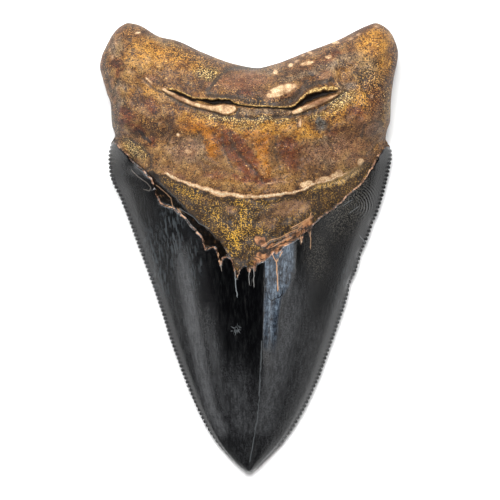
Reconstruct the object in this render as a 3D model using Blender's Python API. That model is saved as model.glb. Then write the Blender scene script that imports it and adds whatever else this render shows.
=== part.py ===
"""A megalodon tooth, lying on its labial face with the lingual face up.

The tooth is one solid. Its lingual and labial faces are two sheets of the same outline that meet in a seam:
the serrated cutting edge round the crown and the rounded rim round the root. +Y runs from the tip to the
root, +Z is the lingual side, and the origin is at the centre of the outline, on the surface that it lies on.
"""

import bmesh
import bpy
import numpy as np
from mathutils import Vector, noise

MM = 0.001

# Driving dimensions, in metres.
LENGTH = 0.11225  # from the crown's tip to the top of the root's lobes
WIDTH = 0.0745  # across the root, which is the widest part

# Shares of LENGTH, measured up from the tip.
NECK = 0.745  # the notch in the outline between the crown's shoulder and the root
LOBE_CORNER = 0.952  # where each side turns into the top of its lobe
SLIT_SIDE = 0.833  # where the row of points along the slit meets the sides

# The outline: the left and right edge as (height, place across), and the top as (place across, height).
LEFT_EDGE = (
    (0.0, -0.010), (0.018, -0.044), (0.071, -0.114), (0.125, -0.161), (0.196, -0.208), (0.285, -0.258),
    (0.374, -0.301), (0.499, -0.368), (0.606, -0.429), (0.665, -0.466), (0.704, -0.470), (0.731, -0.462),
    (NECK, -0.450), (0.766, -0.459), (0.811, -0.464), (0.842, -0.476), (0.878, -0.491), (0.902, -0.500),
    (0.927, -0.493), (LOBE_CORNER, -0.476),
)
RIGHT_EDGE = (
    (0.0, 0.010), (0.018, 0.040), (0.071, 0.117), (0.125, 0.171), (0.196, 0.224), (0.285, 0.275),
    (0.374, 0.322), (0.499, 0.385), (0.606, 0.445), (0.677, 0.472), (0.708, 0.479), (0.724, 0.471),
    (0.737, 0.459), (0.755, 0.464), (0.775, 0.474), (0.811, 0.476), (0.855, 0.483), (0.895, 0.492),
    (0.933, 0.500), (LOBE_CORNER, 0.494),
)
TOP_EDGE = (
    (-0.476, LOBE_CORNER), (-0.459, 0.973), (-0.432, 0.992), (-0.405, 1.0), (-0.372, 0.996), (-0.298, 0.969),
    (-0.244, 0.961), (-0.157, 0.935), (-0.050, 0.909), (0.030, 0.900), (0.084, 0.908), (0.191, 0.935),
    (0.298, 0.962), (0.392, 0.993), (0.425, 1.0), (0.452, 0.993), (0.478, 0.976), (0.494, LOBE_CORNER),
)

# Lines across the lingual face as (place across, height).
ENAMEL_LINE = (
    (-0.459, 0.740), (-0.422, 0.717), (-0.392, 0.693), (-0.348, 0.662), (-0.298, 0.604), (-0.254, 0.588),
    (-0.200, 0.555), (-0.157, 0.521), (-0.104, 0.488), (-0.043, 0.455), (0.013, 0.457), (0.070, 0.483),
    (0.114, 0.505), (0.164, 0.521), (0.200, 0.536), (0.238, 0.568), (0.305, 0.599), (0.358, 0.632),
    (0.412, 0.677), (0.459, 0.730),
)
LABIAL_ENAMEL_LINE = ((-0.45, NECK), (-0.2, 0.668), (0.0, 0.648), (0.2, 0.668), (0.459, 0.737))
GROWTH_LINE = (
    (-0.368, 0.668), (-0.231, 0.641), (-0.090, 0.615), (0.003, 0.613), (0.104, 0.620), (0.188, 0.633),
    (0.261, 0.648), (0.345, 0.675),
)
SLIT_LINE = (
    (-0.500, 0.900), (-0.399, 0.885), (-0.278, 0.857), (-0.199, 0.836), (-0.165, 0.826), (-0.097, 0.824),
    (-0.054, 0.819), (0.003, 0.813), (0.074, 0.807), (0.140, 0.805), (0.184, 0.824), (0.248, 0.841),
    (0.320, 0.852), (0.400, 0.868), (0.500, 0.895),
)

# Heights above the table, depths and places across, in mm. The first number is a share of LENGTH, or of the
# place across for the slit and its roll.
RIDGE_HEIGHT = (
    (0.0, 2.8), (0.03, 4.1), (0.07, 5.9), (0.16, 9.4), (0.27, 12.4), (0.46, 16.4), (0.60, 19.4),
    (0.72, 22.2), (0.79, 23.4), (0.84, 22.6), (0.90, 19.6), (1.0, 17.0),
)
RIDGE_LINE = (
    (0.0, 0.0), (0.02, 0.4), (0.12, 2.0), (0.21, 2.8), (0.29, 3.5), (0.50, 3.8), (0.62, 2.2), (0.78, 0.0),
)
SEAM_HEIGHT = ((0.0, 1.7), (0.30, 2.3), (0.65, 2.8), (0.72, 3.6), (0.80, 6.4), (0.90, 8.0), (1.0, 8.0))
SLIT_DEPTH = (
    (-0.30, 0.0), (-0.25, 0.9), (-0.19, 1.6), (-0.13, 2.6), (-0.075, 2.2), (-0.045, 0.9), (0.12, 0.7),
    (0.16, 1.2), (0.20, 2.6), (0.25, 3.0), (0.28, 1.4), (0.31, 0.0),
)
ROLL_SIZE = (
    (-0.285, 0.0), (-0.27, 0.45), (-0.19, 0.65), (-0.09, 1.05), (-0.06, 0.9), (-0.045, 0.25), (0.12, 0.2),
    (0.145, 0.6), (0.19, 0.8), (0.25, 0.6), (0.29, 0.0),
)
LOBE_HEIGHT = 16.6 * MM  # the root's lobes, clear of the lump in its middle
LUMP_REACH = 17.0 * MM  # how far that lump spreads to each side
RIM_ROUND = 7.0 * MM  # how far in from the rim the root is rounded
ENAMEL_STEP = 0.6 * MM  # how far the enamel stands over the root
LINE_STEP = 0.30 * MM  # the ledge along the growth line
FACET_WIDTH = 8.3 * MM  # the flat strip of enamel on the right of the ridge
FACET_DEPTH = 0.45 * MM  # how far that strip lies under the crown's round
ROUGHNESS = 0.6 * MM  # the root's lumps
LUMP_GRAIN = 5.5 * MM  # how far those lumps lie apart
FLATTEN = 0.40 * MM  # how much of the labial face is worn to the plane that it rests on

# Lumps (above 0) and pits (below 0) on the lingual face: across, height, both radii in mm, and rise in mm.
LUMPS = (
    (0.106, 0.849, 4.8, 1.9, 0.7),  # the pale oval patch over the slit
    (-0.335, 0.700, 4.6, 3.6, 0.8),  # the gritty knob on the left shoulder
    (-0.352, 0.752, 3.4, 1.5, -1.2),  # the gouge above it
    (-0.395, 0.905, 5.0, 4.5, 0.9),
    (0.395, 0.915, 5.2, 5.0, 0.8),
    (-0.02, 0.862, 6.0, 3.0, -0.7),  # the saddle between the slit and the notch
    (-0.18, 0.905, 4.0, 1.8, 0.5),
    (0.26, 0.760, 4.5, 3.0, -0.5),
    (0.02, 0.735, 6.0, 4.0, 0.5),
    (-0.22, 0.745, 4.0, 3.0, -0.5),
    (0.185, 0.568, 1.6, 1.4, 0.4),
    (0.211, 0.881, 1.2, 0.9, -0.7),
    (0.248, 0.880, 2.4, 1.6, 0.5),
    (-0.445, 0.800, 3.0, 5.0, -0.6),
    (0.425, 0.790, 3.6, 3.2, -0.6),
    (0.330, 0.700, 4.0, 2.4, 0.45),
)
# Chips out of the right cutting edge: height up the tooth, half length and depth, the last two in mm.
CHIPS = ((0.420, 2.2, 0.5), (0.487, 1.4, 0.4), (0.556, 1.2, 0.3))

# The mesh: rows up the tooth and columns across it.
SERRATIONS = 84  # along each cutting edge
PER_ROW = 2  # serrations between one row and the next
SERRATION_DEPTH = 0.36 * MM
SMOOTH_TIP = 0.11  # share of LENGTH over which the serrations fade out
ROOT_ROWS = (0.762, 0.776, 0.786)
SLIT_ROWS = (-3.9, -2.9, -2.0, -1.15, -0.55, 0.0, 0.55, 1.1, 2.0)  # mm above the slit's line
TOP_ROWS = (8.0, 6.3, 4.8, 3.2, 1.8, 0.8, 0.2, 0.0)  # mm below the top
RIM_COLUMNS = (0.0, 0.3, 1.2, 2.7, 4.6, 6.8)  # mm in from the widest part's edge
MIDDLE_COLUMNS = 17


def curve(points):
    """A smooth curve through points, as a function: cubic pieces that never overshoot."""
    place, value = np.array(points, dtype=float).T
    gap = np.diff(place)
    slope = np.diff(value) / gap
    tangent = np.zeros_like(value)
    tangent[0], tangent[-1] = slope[0], slope[-1]
    turning = slope[:-1] * slope[1:] > 0
    both = slope[:-1][turning] * slope[1:][turning]
    tangent[1:-1][turning] = 2 * both / (slope[:-1] + slope[1:])[turning]

    def at(x):
        i = np.clip(np.searchsorted(place, x) - 1, 0, len(gap) - 1)
        w = np.clip((x - place[i]) / gap[i], 0.0, 1.0)
        start = value[i] * (1 + 2 * w) + tangent[i] * gap[i] * w
        end = value[i + 1] * (3 - 2 * w) - tangent[i + 1] * gap[i] * (1 - w)
        return start * (1 - w) ** 2 + end * w ** 2

    return at


left_edge, right_edge, top_edge = curve(LEFT_EDGE), curve(RIGHT_EDGE), curve(TOP_EDGE)
enamel_line, labial_enamel_line = curve(ENAMEL_LINE), curve(LABIAL_ENAMEL_LINE)
growth_line, slit_line = curve(GROWTH_LINE), curve(SLIT_LINE)
ridge_height, ridge_line, seam_height = curve(RIDGE_HEIGHT), curve(RIDGE_LINE), curve(SEAM_HEIGHT)
slit_depth, roll_size = curve(SLIT_DEPTH), curve(ROLL_SIZE)


def ease(x, low, high):
    """0 below low, 1 above high, and smooth between."""
    t = np.clip((x - low) / (high - low), 0.0, 1.0)
    return t * t * (3 - 2 * t)


def bell(x, reach):
    return np.exp(-((x / reach) ** 2))


def rough(x, y, grain, seed):
    """Rounded noise of about -1 to 1 over the face, with lumps of the grain's size."""
    flat = [noise.fractal(Vector((p / grain, q / grain, seed)), 0.9, 2.0, 3) for p, q in zip(x.flat, y.flat)]
    return np.array(flat).reshape(x.shape)


def row_heights():
    """The rows' heights at the sides, as shares of LENGTH: the crown's, the slit's and the top's."""
    crown = np.linspace(0.0, NECK, SERRATIONS // PER_ROW + 1)
    slit = [SLIT_SIDE + mm * MM / LENGTH for mm in SLIT_ROWS]
    top = [LOBE_CORNER - mm * MM / LENGTH for mm in TOP_ROWS]
    return np.array([*crown, *ROOT_ROWS, *slit, *top])


def top_pull(row):
    """How much a row follows the top's outline: not at all in the crown, and fully at the top."""
    return ease(row, 0.66, LOBE_CORNER + 0.04) / ease(LOBE_CORNER, 0.66, LOBE_CORNER + 0.04)


def slit_pull(row):
    """How much a row follows the slit: fully at the slit, and not at all a little way off."""
    return ease(row, 0.765, 0.80) * (1 - ease(row, 0.85, 0.91))


def face_places(rows, shares):
    """Where the rows and columns of a face cross, in metres: x across and y up from the tip."""
    row = rows[:, None] * np.ones_like(shares)
    across = left_edge(row) * (1 - shares) + right_edge(row) * shares
    rise = top_edge(across) - LOBE_CORNER
    off_slit = slit_line(across) - SLIT_SIDE - top_pull(SLIT_SIDE) * rise
    sides = ease(shares, 0.0, 0.12) * ease(1 - shares, 0.0, 0.12)
    height = row + top_pull(row) * rise + slit_pull(row) * sides * off_slit
    return across * WIDTH, height * LENGTH


def column_shares():
    """The columns' shares of the way across, close together near both rims."""
    rim = np.array(RIM_COLUMNS) * MM / WIDTH
    inner = np.linspace(rim[-1], 1 - rim[-1], MIDDLE_COLUMNS + 1)
    return np.array([*rim[:-1], *inner, *(1 - rim[-2::-1])])


def outline_places():
    """Points round the root's rim, from the left neck over the top to the right neck."""
    side = np.linspace(0.70, LOBE_CORNER, 60)
    top = np.linspace(TOP_EDGE[0][0], TOP_EDGE[-1][0], 160)
    x = np.array([*left_edge(side), *top, *right_edge(side[::-1])]) * WIDTH
    y = np.array([*side, *top_edge(top), *side[::-1]]) * LENGTH
    return x, y


def rim_distance(x, y):
    """How far each place is from the root's rim."""
    rim_x, rim_y = outline_places()
    return np.sqrt(((x[..., None] - rim_x) ** 2 + (y[..., None] - rim_y) ** 2).min(axis=-1))


def bulge(distance, reach):
    """A quarter round that rises from 0 at the rim to 1 at its reach."""
    t = np.clip(distance / reach, 0.0, 1.0)
    return np.sqrt(1 - (1 - t) ** 2)


def lingual_height(x, y, side):
    """The lingual face over the table. side runs from -1 at the left seam to 1 at the right one."""
    across, up = x / WIDTH, y / LENGTH
    seam = seam_height(up) * MM
    ridge = ridge_height(up) * MM
    crown = seam + (ridge - seam) * crown_round(x, up)
    body = LOBE_HEIGHT + (ridge - LOBE_HEIGHT) * bell(x, LUMP_REACH)
    distance = rim_distance(x, y)
    root = seam + (body - seam) * bulge(distance, RIM_ROUND)
    z = crown + (root - crown) * ease(up, 0.68, 0.80)
    inside = ease(distance, 0.0, 2.5 * MM)

    below = (enamel_line(across) - up) * LENGTH
    enamel = ease(below, -0.5 * MM, 0.5 * MM)
    z = z + ENAMEL_STEP * enamel * ease(1 - np.abs(side), 0.0, 0.12)
    z = z + ROUGHNESS * rough(x, y, LUMP_GRAIN, 1.5) * (1 - enamel) * inside
    above_line = (up - growth_line(across)) * LENGTH
    ends = 1 - ease(np.abs(across), 0.30, 0.36)
    ledge = ease(above_line, -0.9 * MM, 0.1 * MM) - ease(above_line, 0.5 * MM, 9 * MM)
    z = z + LINE_STEP * (1 - enamel) * ends * ledge
    for place, height, wide, tall, rise in LUMPS:
        shape = bell(x - place * WIDTH, wide * MM) * bell(y - height * LENGTH, tall * MM)
        z = z + rise * MM * shape * inside
    z = z + slit_shape(across, up) * inside
    strip = np.clip((x - ridge_line(up) * MM) / FACET_WIDTH, 0.0, 1.0)
    return z - FACET_DEPTH * np.sin(np.pi * strip) * ease(up, 0.22, 0.30) * (1 - ease(up, 0.48, 0.56))


def crown_round(x, up):
    """The crown's cross-section: 1 on the ridge, falling to 0 at both cutting edges."""
    ridge = ridge_line(up) * MM
    left = (ridge - x) / (ridge - left_edge(up) * WIDTH)
    right = (x - ridge) / (right_edge(up) * WIDTH - ridge)
    return 1 - np.clip(np.maximum(left, right), 0.0, 1.0) ** 1.8


def slit_shape(across, up):
    """The slit, its raised upper lip and the pale roll along its lower side, as a change in height."""
    above = (up - slit_line(across)) * LENGTH
    depth = slit_depth(across) * MM
    wide = 0.35 * MM + 0.28 * depth
    cut = -depth * (1 - ease(np.abs(above), 0.3 * wide, 1.2 * wide))
    lip = 0.35 * depth * bell(above - 1.5 * MM, 0.9 * MM)
    roll = roll_size(across) * MM
    return cut + lip + roll * bell(above + 1.6 * MM, 0.9 * MM) - 0.7 * roll * bell(above + 3.4 * MM, 0.8 * MM)


def labial_height(x, y, side):
    """The labial face over the table, worn flat where it touches."""
    across, up = x / WIDTH, y / LENGTH
    seam = seam_height(up) * MM
    crown = seam * np.abs(side) ** 2.4
    hollow = 1.6 * MM * bell(x, 11 * MM) * ease(up, 0.66, 0.80)
    distance = rim_distance(x, y)
    root = seam - (seam - hollow) * bulge(distance, RIM_ROUND)
    z = crown + (root - crown) * ease(up, 0.66, 0.78)
    waist = 1.0 * MM * ease(up, 0.46, 0.60) * (1 - ease(up, 0.76, 0.86))
    inside = ease(distance, 0.0, 2.5 * MM) * ease(1 - np.abs(side), 0.0, 0.15)
    below = (labial_enamel_line(across) - up) * LENGTH
    enamel = ease(below, -0.5 * MM, 0.5 * MM)
    z = z + (waist - 0.6 * ENAMEL_STEP * enamel * ease(up, 0.4, 0.6)) * inside
    z = z + 0.5 * ROUGHNESS * rough(x, y, LUMP_GRAIN, 7.5) * (1 - enamel) * inside
    tip_lift = 1.2 * MM * (1 - ease(up, 0.0, 0.22))
    return np.maximum(z + tip_lift * (1 - np.abs(side) ** 2.4) - FLATTEN * inside_wear(side, up), 0.0)


def inside_wear(side, up):
    """Where the table has worn the labial face: everywhere but at the seam."""
    return ease(1 - np.abs(side), 0.0, 0.3) * ease(up, 0.0, 0.1)


def make_face(height_of):
    """One face of the tooth as a grid laid over its outline."""
    rows, shares = row_heights(), column_shares()
    x, y = face_places(rows, shares)
    side = 2 * shares[None, :] - 1 + 0 * x
    z = height_of(x, y, side)
    rim = np.zeros_like(z, dtype=bool)
    rim[0], rim[-1], rim[:, 0], rim[:, -1] = True, True, True, True
    z[rim] = (seam_height(y / LENGTH) * MM)[rim]

    face = bmesh.new()
    bmesh.ops.create_grid(face, x_segments=len(shares) - 1, y_segments=len(rows) - 1, size=1.0)
    for vert, place in zip(face.verts, zip(x.flat, y.flat, z.flat)):
        vert.co = place
    return face, rows


def cut_serrations(face, rows):
    """Small teeth along both cutting edges, between the rows."""
    sides = rows * LENGTH
    neck = NECK * LENGTH
    just_over = 0.01 * MM
    edges = []
    for edge in face.edges:
        low, high = sorted(vert.co.y for vert in edge.verts)
        along_side = edge.is_boundary and high - low > just_over and high < neck + just_over
        if along_side:
            edges.append(edge)
    bmesh.ops.subdivide_edges(face, edges=edges, cuts=2 * PER_ROW - 1)
    for vert in face.verts:
        if not vert.is_boundary or vert.co.y > neck + just_over or vert.co.y < just_over:
            continue
        row = int(np.searchsorted(sides, vert.co.y + just_over)) - 1
        part = (vert.co.y - sides[row]) / (sides[row + 1] - sides[row])
        step = round(part * 2 * PER_ROW)
        fade = float(ease(vert.co.y / LENGTH, 0.01, SMOOTH_TIP))
        push = SERRATION_DEPTH * (0.5 if step % 2 else -0.5) * fade
        outward = 1.0 if vert.co.x > 0 else -1.0
        if outward > 0:
            push -= sum(
                deep * MM * float(bell(vert.co.y - height * LENGTH, half * MM))
                for height, half, deep in CHIPS
            )
        vert.co.x += outward * push


def make_material(name, colour, roughness):
    material = bpy.data.materials.new(name)
    material.use_nodes = True
    shader = material.node_tree.nodes["Principled BSDF"]
    shader.inputs["Base Color"].default_value = (*colour, 1.0)
    shader.inputs["Roughness"].default_value = roughness
    shader.inputs["Metallic"].default_value = 0.0
    return material


def make_tooth():
    """The whole tooth: both faces welded along the seam."""
    body = bpy.data.meshes.new("tooth")
    joined = bmesh.new()
    for height_of in (lingual_height, labial_height):
        face, rows = make_face(height_of)
        cut_serrations(face, rows)
        part = bpy.data.meshes.new("face")
        face.to_mesh(part)
        face.free()
        joined.from_mesh(part)
        bpy.data.meshes.remove(part)
    bmesh.ops.remove_doubles(joined, verts=joined.verts, dist=0.002 * MM)
    bmesh.ops.triangulate(joined, faces=joined.faces)
    places = np.array([vert.co for vert in joined.verts])
    middle = (places.min(axis=0) + places.max(axis=0)) / 2
    bmesh.ops.translate(joined, verts=joined.verts, vec=(-middle[0], -middle[1], 0.0))
    bmesh.ops.recalc_face_normals(joined, faces=joined.faces)
    joined.to_mesh(body)
    joined.free()
    return body


def main():
    for item in list(bpy.data.objects):
        bpy.data.objects.remove(item)
    tooth = bpy.data.objects.new("tooth", make_tooth())
    bpy.context.scene.collection.objects.link(tooth)
    tooth.data.materials.append(make_material("fossil tooth", (0.09, 0.06, 0.04), 0.4))
    tooth.data.shade_smooth()


main()
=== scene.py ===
"""A megalodon tooth, dressed for a studio picture: one fossil tooth on a pale floor, seen from above.

The finished tooth is one closed mesh that stands for the frame's node. Its lingual and labial faces are grids
over the same outline, finer where the relief is fine, and welded along the cutting edges and the root's rim.
"""

import math

import bmesh
import bpy
import numpy as np
from bpy.props import FloatProperty, FloatVectorProperty, IntProperty, PointerProperty
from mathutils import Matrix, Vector, noise


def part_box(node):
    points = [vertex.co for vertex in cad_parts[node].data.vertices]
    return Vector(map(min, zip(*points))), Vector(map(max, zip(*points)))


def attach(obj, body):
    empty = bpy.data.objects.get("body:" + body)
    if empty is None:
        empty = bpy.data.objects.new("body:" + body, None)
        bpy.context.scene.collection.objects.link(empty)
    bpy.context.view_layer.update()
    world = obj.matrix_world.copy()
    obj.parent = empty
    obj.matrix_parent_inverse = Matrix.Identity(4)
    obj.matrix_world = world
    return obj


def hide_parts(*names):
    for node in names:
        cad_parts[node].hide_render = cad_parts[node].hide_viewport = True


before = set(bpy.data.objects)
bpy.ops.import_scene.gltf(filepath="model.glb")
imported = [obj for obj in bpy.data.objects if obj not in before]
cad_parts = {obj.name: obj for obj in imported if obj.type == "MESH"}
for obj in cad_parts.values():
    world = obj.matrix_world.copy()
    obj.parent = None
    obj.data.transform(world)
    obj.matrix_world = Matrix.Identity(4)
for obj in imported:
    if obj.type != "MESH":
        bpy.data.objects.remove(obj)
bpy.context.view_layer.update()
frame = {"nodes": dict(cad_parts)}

bl_info = {
    "name": "Megalodon Tooth",
    "version": (1, 0, 0),
    "blender": (4, 5, 0),
    "location": "View3D > Sidebar > Tooth",
    "description": "Models a fossil tooth with its enamel, bourlette and root, and a studio stage for it",
    "category": "Object",
}

MM = 0.001
LOW, HIGH = (Vector(corner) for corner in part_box("tooth"))
WIDTH = HIGH.x - LOW.x
LENGTH = HIGH.y - LOW.y
TIP = LOW.y  # where the heights up the tooth are measured from

# ---------------------------------------------------------------------------------------------------------
# The tooth's lines. Heights are shares of LENGTH up from the tip, and places across are shares of WIDTH.
# ---------------------------------------------------------------------------------------------------------

NECK = 0.745  # the notch between the crown's shoulder and the root
LOBE_CORNER = 0.952  # where each side turns into the top of its lobe
SLIT_SIDE = 0.833  # where the row of points along the slit meets the sides

LEFT_EDGE = (
    (0.0, -0.010), (0.018, -0.044), (0.071, -0.114), (0.125, -0.161), (0.196, -0.208), (0.285, -0.258),
    (0.374, -0.301), (0.499, -0.368), (0.606, -0.429), (0.665, -0.466), (0.704, -0.470), (0.731, -0.462),
    (NECK, -0.450), (0.766, -0.459), (0.811, -0.464), (0.842, -0.476), (0.878, -0.491), (0.902, -0.500),
    (0.927, -0.493), (LOBE_CORNER, -0.476),
)
RIGHT_EDGE = (
    (0.0, 0.010), (0.018, 0.040), (0.071, 0.117), (0.125, 0.171), (0.196, 0.224), (0.285, 0.275),
    (0.374, 0.322), (0.499, 0.385), (0.606, 0.445), (0.677, 0.472), (0.708, 0.479), (0.724, 0.471),
    (0.737, 0.459), (0.755, 0.464), (0.775, 0.474), (0.811, 0.476), (0.855, 0.483), (0.895, 0.492),
    (0.933, 0.500), (LOBE_CORNER, 0.494),
)
TOP_EDGE = (
    (-0.476, LOBE_CORNER), (-0.459, 0.973), (-0.432, 0.992), (-0.405, 1.0), (-0.372, 0.996), (-0.298, 0.969),
    (-0.244, 0.961), (-0.157, 0.935), (-0.050, 0.909), (0.030, 0.900), (0.084, 0.908), (0.191, 0.935),
    (0.298, 0.962), (0.392, 0.993), (0.425, 1.0), (0.452, 0.993), (0.478, 0.976), (0.494, LOBE_CORNER),
)

# The enamel's chipped edge across the lingual face: arches between cusps that run down into fine cracks.
ENAMEL_EDGE = (
    (-0.459, 0.737), (-0.422, 0.717), (-0.392, 0.693), (-0.348, 0.668), (-0.325, 0.650), (-0.308, 0.615),
    (-0.298, 0.599), (-0.254, 0.588), (-0.211, 0.563), (-0.181, 0.539), (-0.157, 0.521), (-0.146, 0.496),
    (-0.117, 0.502), (-0.106, 0.492), (-0.0955, 0.462), (-0.088, 0.476), (-0.072, 0.481), (-0.059, 0.474),
    (-0.050, 0.458), (-0.042, 0.430), (-0.034, 0.450), (-0.020, 0.458), (-0.007, 0.460), (0.001, 0.446),
    (0.006, 0.455), (0.015, 0.455), (0.0185, 0.449), (0.026, 0.466), (0.047, 0.470), (0.060, 0.474),
    (0.074, 0.484), (0.084, 0.492), (0.092, 0.486), (0.102, 0.491), (0.114, 0.500), (0.137, 0.510),
    (0.158, 0.517), (0.170, 0.521), (0.174, 0.513), (0.180, 0.530), (0.197, 0.541), (0.204, 0.525),
    (0.210, 0.540), (0.214, 0.550), (0.238, 0.568), (0.281, 0.585), (0.305, 0.599), (0.338, 0.621),
    (0.358, 0.632), (0.382, 0.646), (0.412, 0.677), (0.435, 0.706), (0.459, 0.724),
)
# On the left the band next to the enamel shows black: dark dentine, with painted shade at the foot of the
# enamel.
GOLD_EDGE_LEFT = (
    (-0.459, 0.742), (-0.400, 0.702), (-0.338, 0.668), (-0.298, 0.646), (-0.248, 0.615), (-0.204, 0.583),
    (-0.167, 0.559), (-0.134, 0.537), (-0.098, 0.518), (-0.074, 0.490), (-0.050, 0.470), (-0.042, 0.445),
)
LABIAL_EDGE = (
    (-0.460, 0.745), (-0.40, 0.712), (-0.30, 0.684), (-0.20, 0.668), (-0.10, 0.653), (0.0, 0.648),
    (0.10, 0.654), (0.20, 0.668), (0.30, 0.682), (0.40, 0.706), (0.459, 0.737),
)
GROWTH_LINE = (
    (-0.300, 0.664), (-0.281, 0.666), (-0.231, 0.648), (-0.190, 0.638), (-0.157, 0.632), (-0.104, 0.622),
    (-0.057, 0.616), (0.003, 0.6125), (0.044, 0.613), (0.087, 0.617), (0.137, 0.620), (0.171, 0.627),
    (0.204, 0.635), (0.224, 0.644), (0.261, 0.648), (0.308, 0.659), (0.345, 0.673), (0.380, 0.690),
)
SLIT_LINE = (
    (-0.500, 0.900), (-0.399, 0.885), (-0.2880, 0.8530), (-0.2461, 0.8434), (-0.2110, 0.8343),
    (-0.1808, 0.8261), (-0.1608, 0.8258), (-0.1407, 0.8232), (-0.1172, 0.8214), (-0.0938, 0.8220),
    (-0.0670, 0.8212), (-0.0469, 0.8165), (-0.0201, 0.8131), (0.0234, 0.8100), (0.0670, 0.8085),
    (0.1038, 0.8080), (0.1306, 0.8067), (0.1474, 0.8078), (0.1708, 0.8183), (0.2029, 0.8314),
    (0.2378, 0.8392), (0.2713, 0.8434), (0.3048, 0.8463), (0.400, 0.868), (0.500, 0.895),
)
# Half the slit's opening and its depth along it, in mm.
SLIT_OPENING = (
    (-0.2880, 0.00), (-0.2461, 0.33), (-0.2110, 0.37), (-0.1808, 0.28), (-0.1608, 0.22), (-0.1407, 0.60),
    (-0.1172, 0.60), (-0.0938, 0.54), (-0.0670, 0.54), (-0.0469, 0.24), (-0.0201, 0.16), (0.0234, 0.14),
    (0.1038, 0.15), (0.1306, 0.26), (0.1474, 0.36), (0.1708, 0.60), (0.2029, 0.90), (0.2378, 0.74),
    (0.2713, 0.44), (0.3048, 0.00),
)
SLIT_DEPTH = (
    (-0.2947, 0.0), (-0.2713, 0.8), (-0.2311, 1.8), (-0.1808, 1.6), (-0.1407, 2.6), (-0.0938, 2.6),
    (-0.0636, 2.2), (-0.0368, 1.1), (0.1206, 1.1), (0.1474, 1.6), (0.1875, 2.8), (0.2378, 2.6), (0.2780, 1.4),
    (0.3115, 0.0),
)
# Half the width of the golden fringe over the slit, and of the growth line, in mm.
FRINGE_WIDTH = (
    (-0.2813, 0.22), (-0.1976, 0.24), (-0.1407, 0.27), (-0.0469, 0.18), (0.0234, 0.20), (0.1206, 0.22),
    (0.1708, 0.42), (0.2378, 0.55), (0.3048, 0.60),
)
THREAD_WIDTH = (
    (-0.3048, 0.00), (-0.2813, 0.34), (-0.2143, 0.34), (-0.1976, 0.40), (-0.1474, 0.48), (-0.1139, 0.62),
    (-0.0636, 0.56), (0.0033, 0.46), (0.0703, 0.42), (0.1373, 0.30), (0.1875, 0.30), (0.2311, 0.38),
    (0.2679, 0.24), (0.2914, 0.24), (0.3215, 0.12), (0.3550, 0.00),
)
# The pale rolls below the slit: place across, height, and half the thickness in mm.
LEFT_ROLL = (
    (-0.2860, 0.8508, 0.60), (-0.2646, 0.8425, 0.66), (-0.2378, 0.8334, 0.70), (-0.1889, 0.8183, 0.72),
    (-0.1474, 0.8107, 0.68), (-0.1273, 0.8078, 0.85), (-0.1072, 0.8073, 1.15), (-0.0871, 0.8056, 1.60),
    (-0.0687, 0.8056, 1.60), (-0.0536, 0.8062, 1.10),
)
RIGHT_ROLL = (
    (0.1500, 0.7990, 0.70), (0.1741, 0.8050, 0.90), (0.2009, 0.8130, 0.80), (0.2378, 0.8225, 0.85),
    (0.2713, 0.8315, 0.60), (0.2947, 0.8385, 0.30),
)

# Heights above the table in mm, against the height up the tooth.
RIDGE_HEIGHT = (
    (0.0, 2.8), (0.03, 4.1), (0.07, 5.9), (0.16, 9.4), (0.27, 12.4), (0.46, 16.4), (0.60, 19.4),
    (0.72, 22.2), (0.79, 23.4), (0.84, 22.6), (0.90, 19.6), (1.0, 17.0),
)
# How far to the right of the middle the ridge runs, in mm.
RIDGE_LINE = (
    (0.0, 0.0), (0.02, 0.4), (0.12, 2.0), (0.21, 2.8), (0.29, 3.5), (0.50, 3.8), (0.62, 2.2), (0.78, 0.0),
)
# Where the two faces meet, in mm above the table.
SEAM_HEIGHT = ((0.0, 1.7), (0.30, 2.3), (0.65, 2.8), (0.72, 3.6), (0.80, 6.4), (0.90, 8.0), (1.0, 8.0))
# The flat strip of enamel on the right of the ridge: its width in mm, against the height up the tooth.
FACET_WIDTH = ((0.2, 3.4), (0.33, 3.9), (0.385, 4.6), (0.41, 6.4), (0.45, 8.0), (0.6, 8.3))
FACET_DEPTH = 0.45 * MM  # how far that strip lies under the crown's round
LOBE_HEIGHT = 16.6 * MM  # the root's lobes, clear of the lump in its middle
LUMP_REACH = 17.0 * MM  # how far that lump spreads to each side
RIM_ROUND = 7.0 * MM  # how far in from the rim the root is rounded
LUMP_GRAIN = 5.5 * MM  # how far the root's broad lumps lie apart
ENAMEL_WAVER = 0.22 * MM  # how far the line that the enamel ends at strays
LINE_WOBBLE = 0.3 * MM  # how far the growth line and the fine lines stray
SLIT_WAVER = 0.2 * MM
LINE_STEP = 0.32 * MM  # the ledge along the growth line
ROLL_RISE = 0.75 * MM
GRAIN_RISE, FINE_RISE, CREASE_DEPTH = 0.22, 0.085, 0.22  # the root's relief, in mm
HAIRLINE_DEPTH = 0.05 * MM
LABIAL_HOLLOW = 1.6 * MM  # how far the root's middle stands clear of the table
LABIAL_WAIST = 1.0 * MM  # and the band between the crown and the root
TIP_LIFT = 1.2 * MM
FLATTEN = 0.40 * MM  # how much of the labial face is worn to the plane that it rests on
WEAR_AND_HIGHLIGHT_FADE = 14.0 * MM  # over how long a band of wear and painted highlight fades in
FOLD_CENTRE = (25.8, 10.4, 0.0)  # in mm, where the arcs of the fine folds turn

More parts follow.
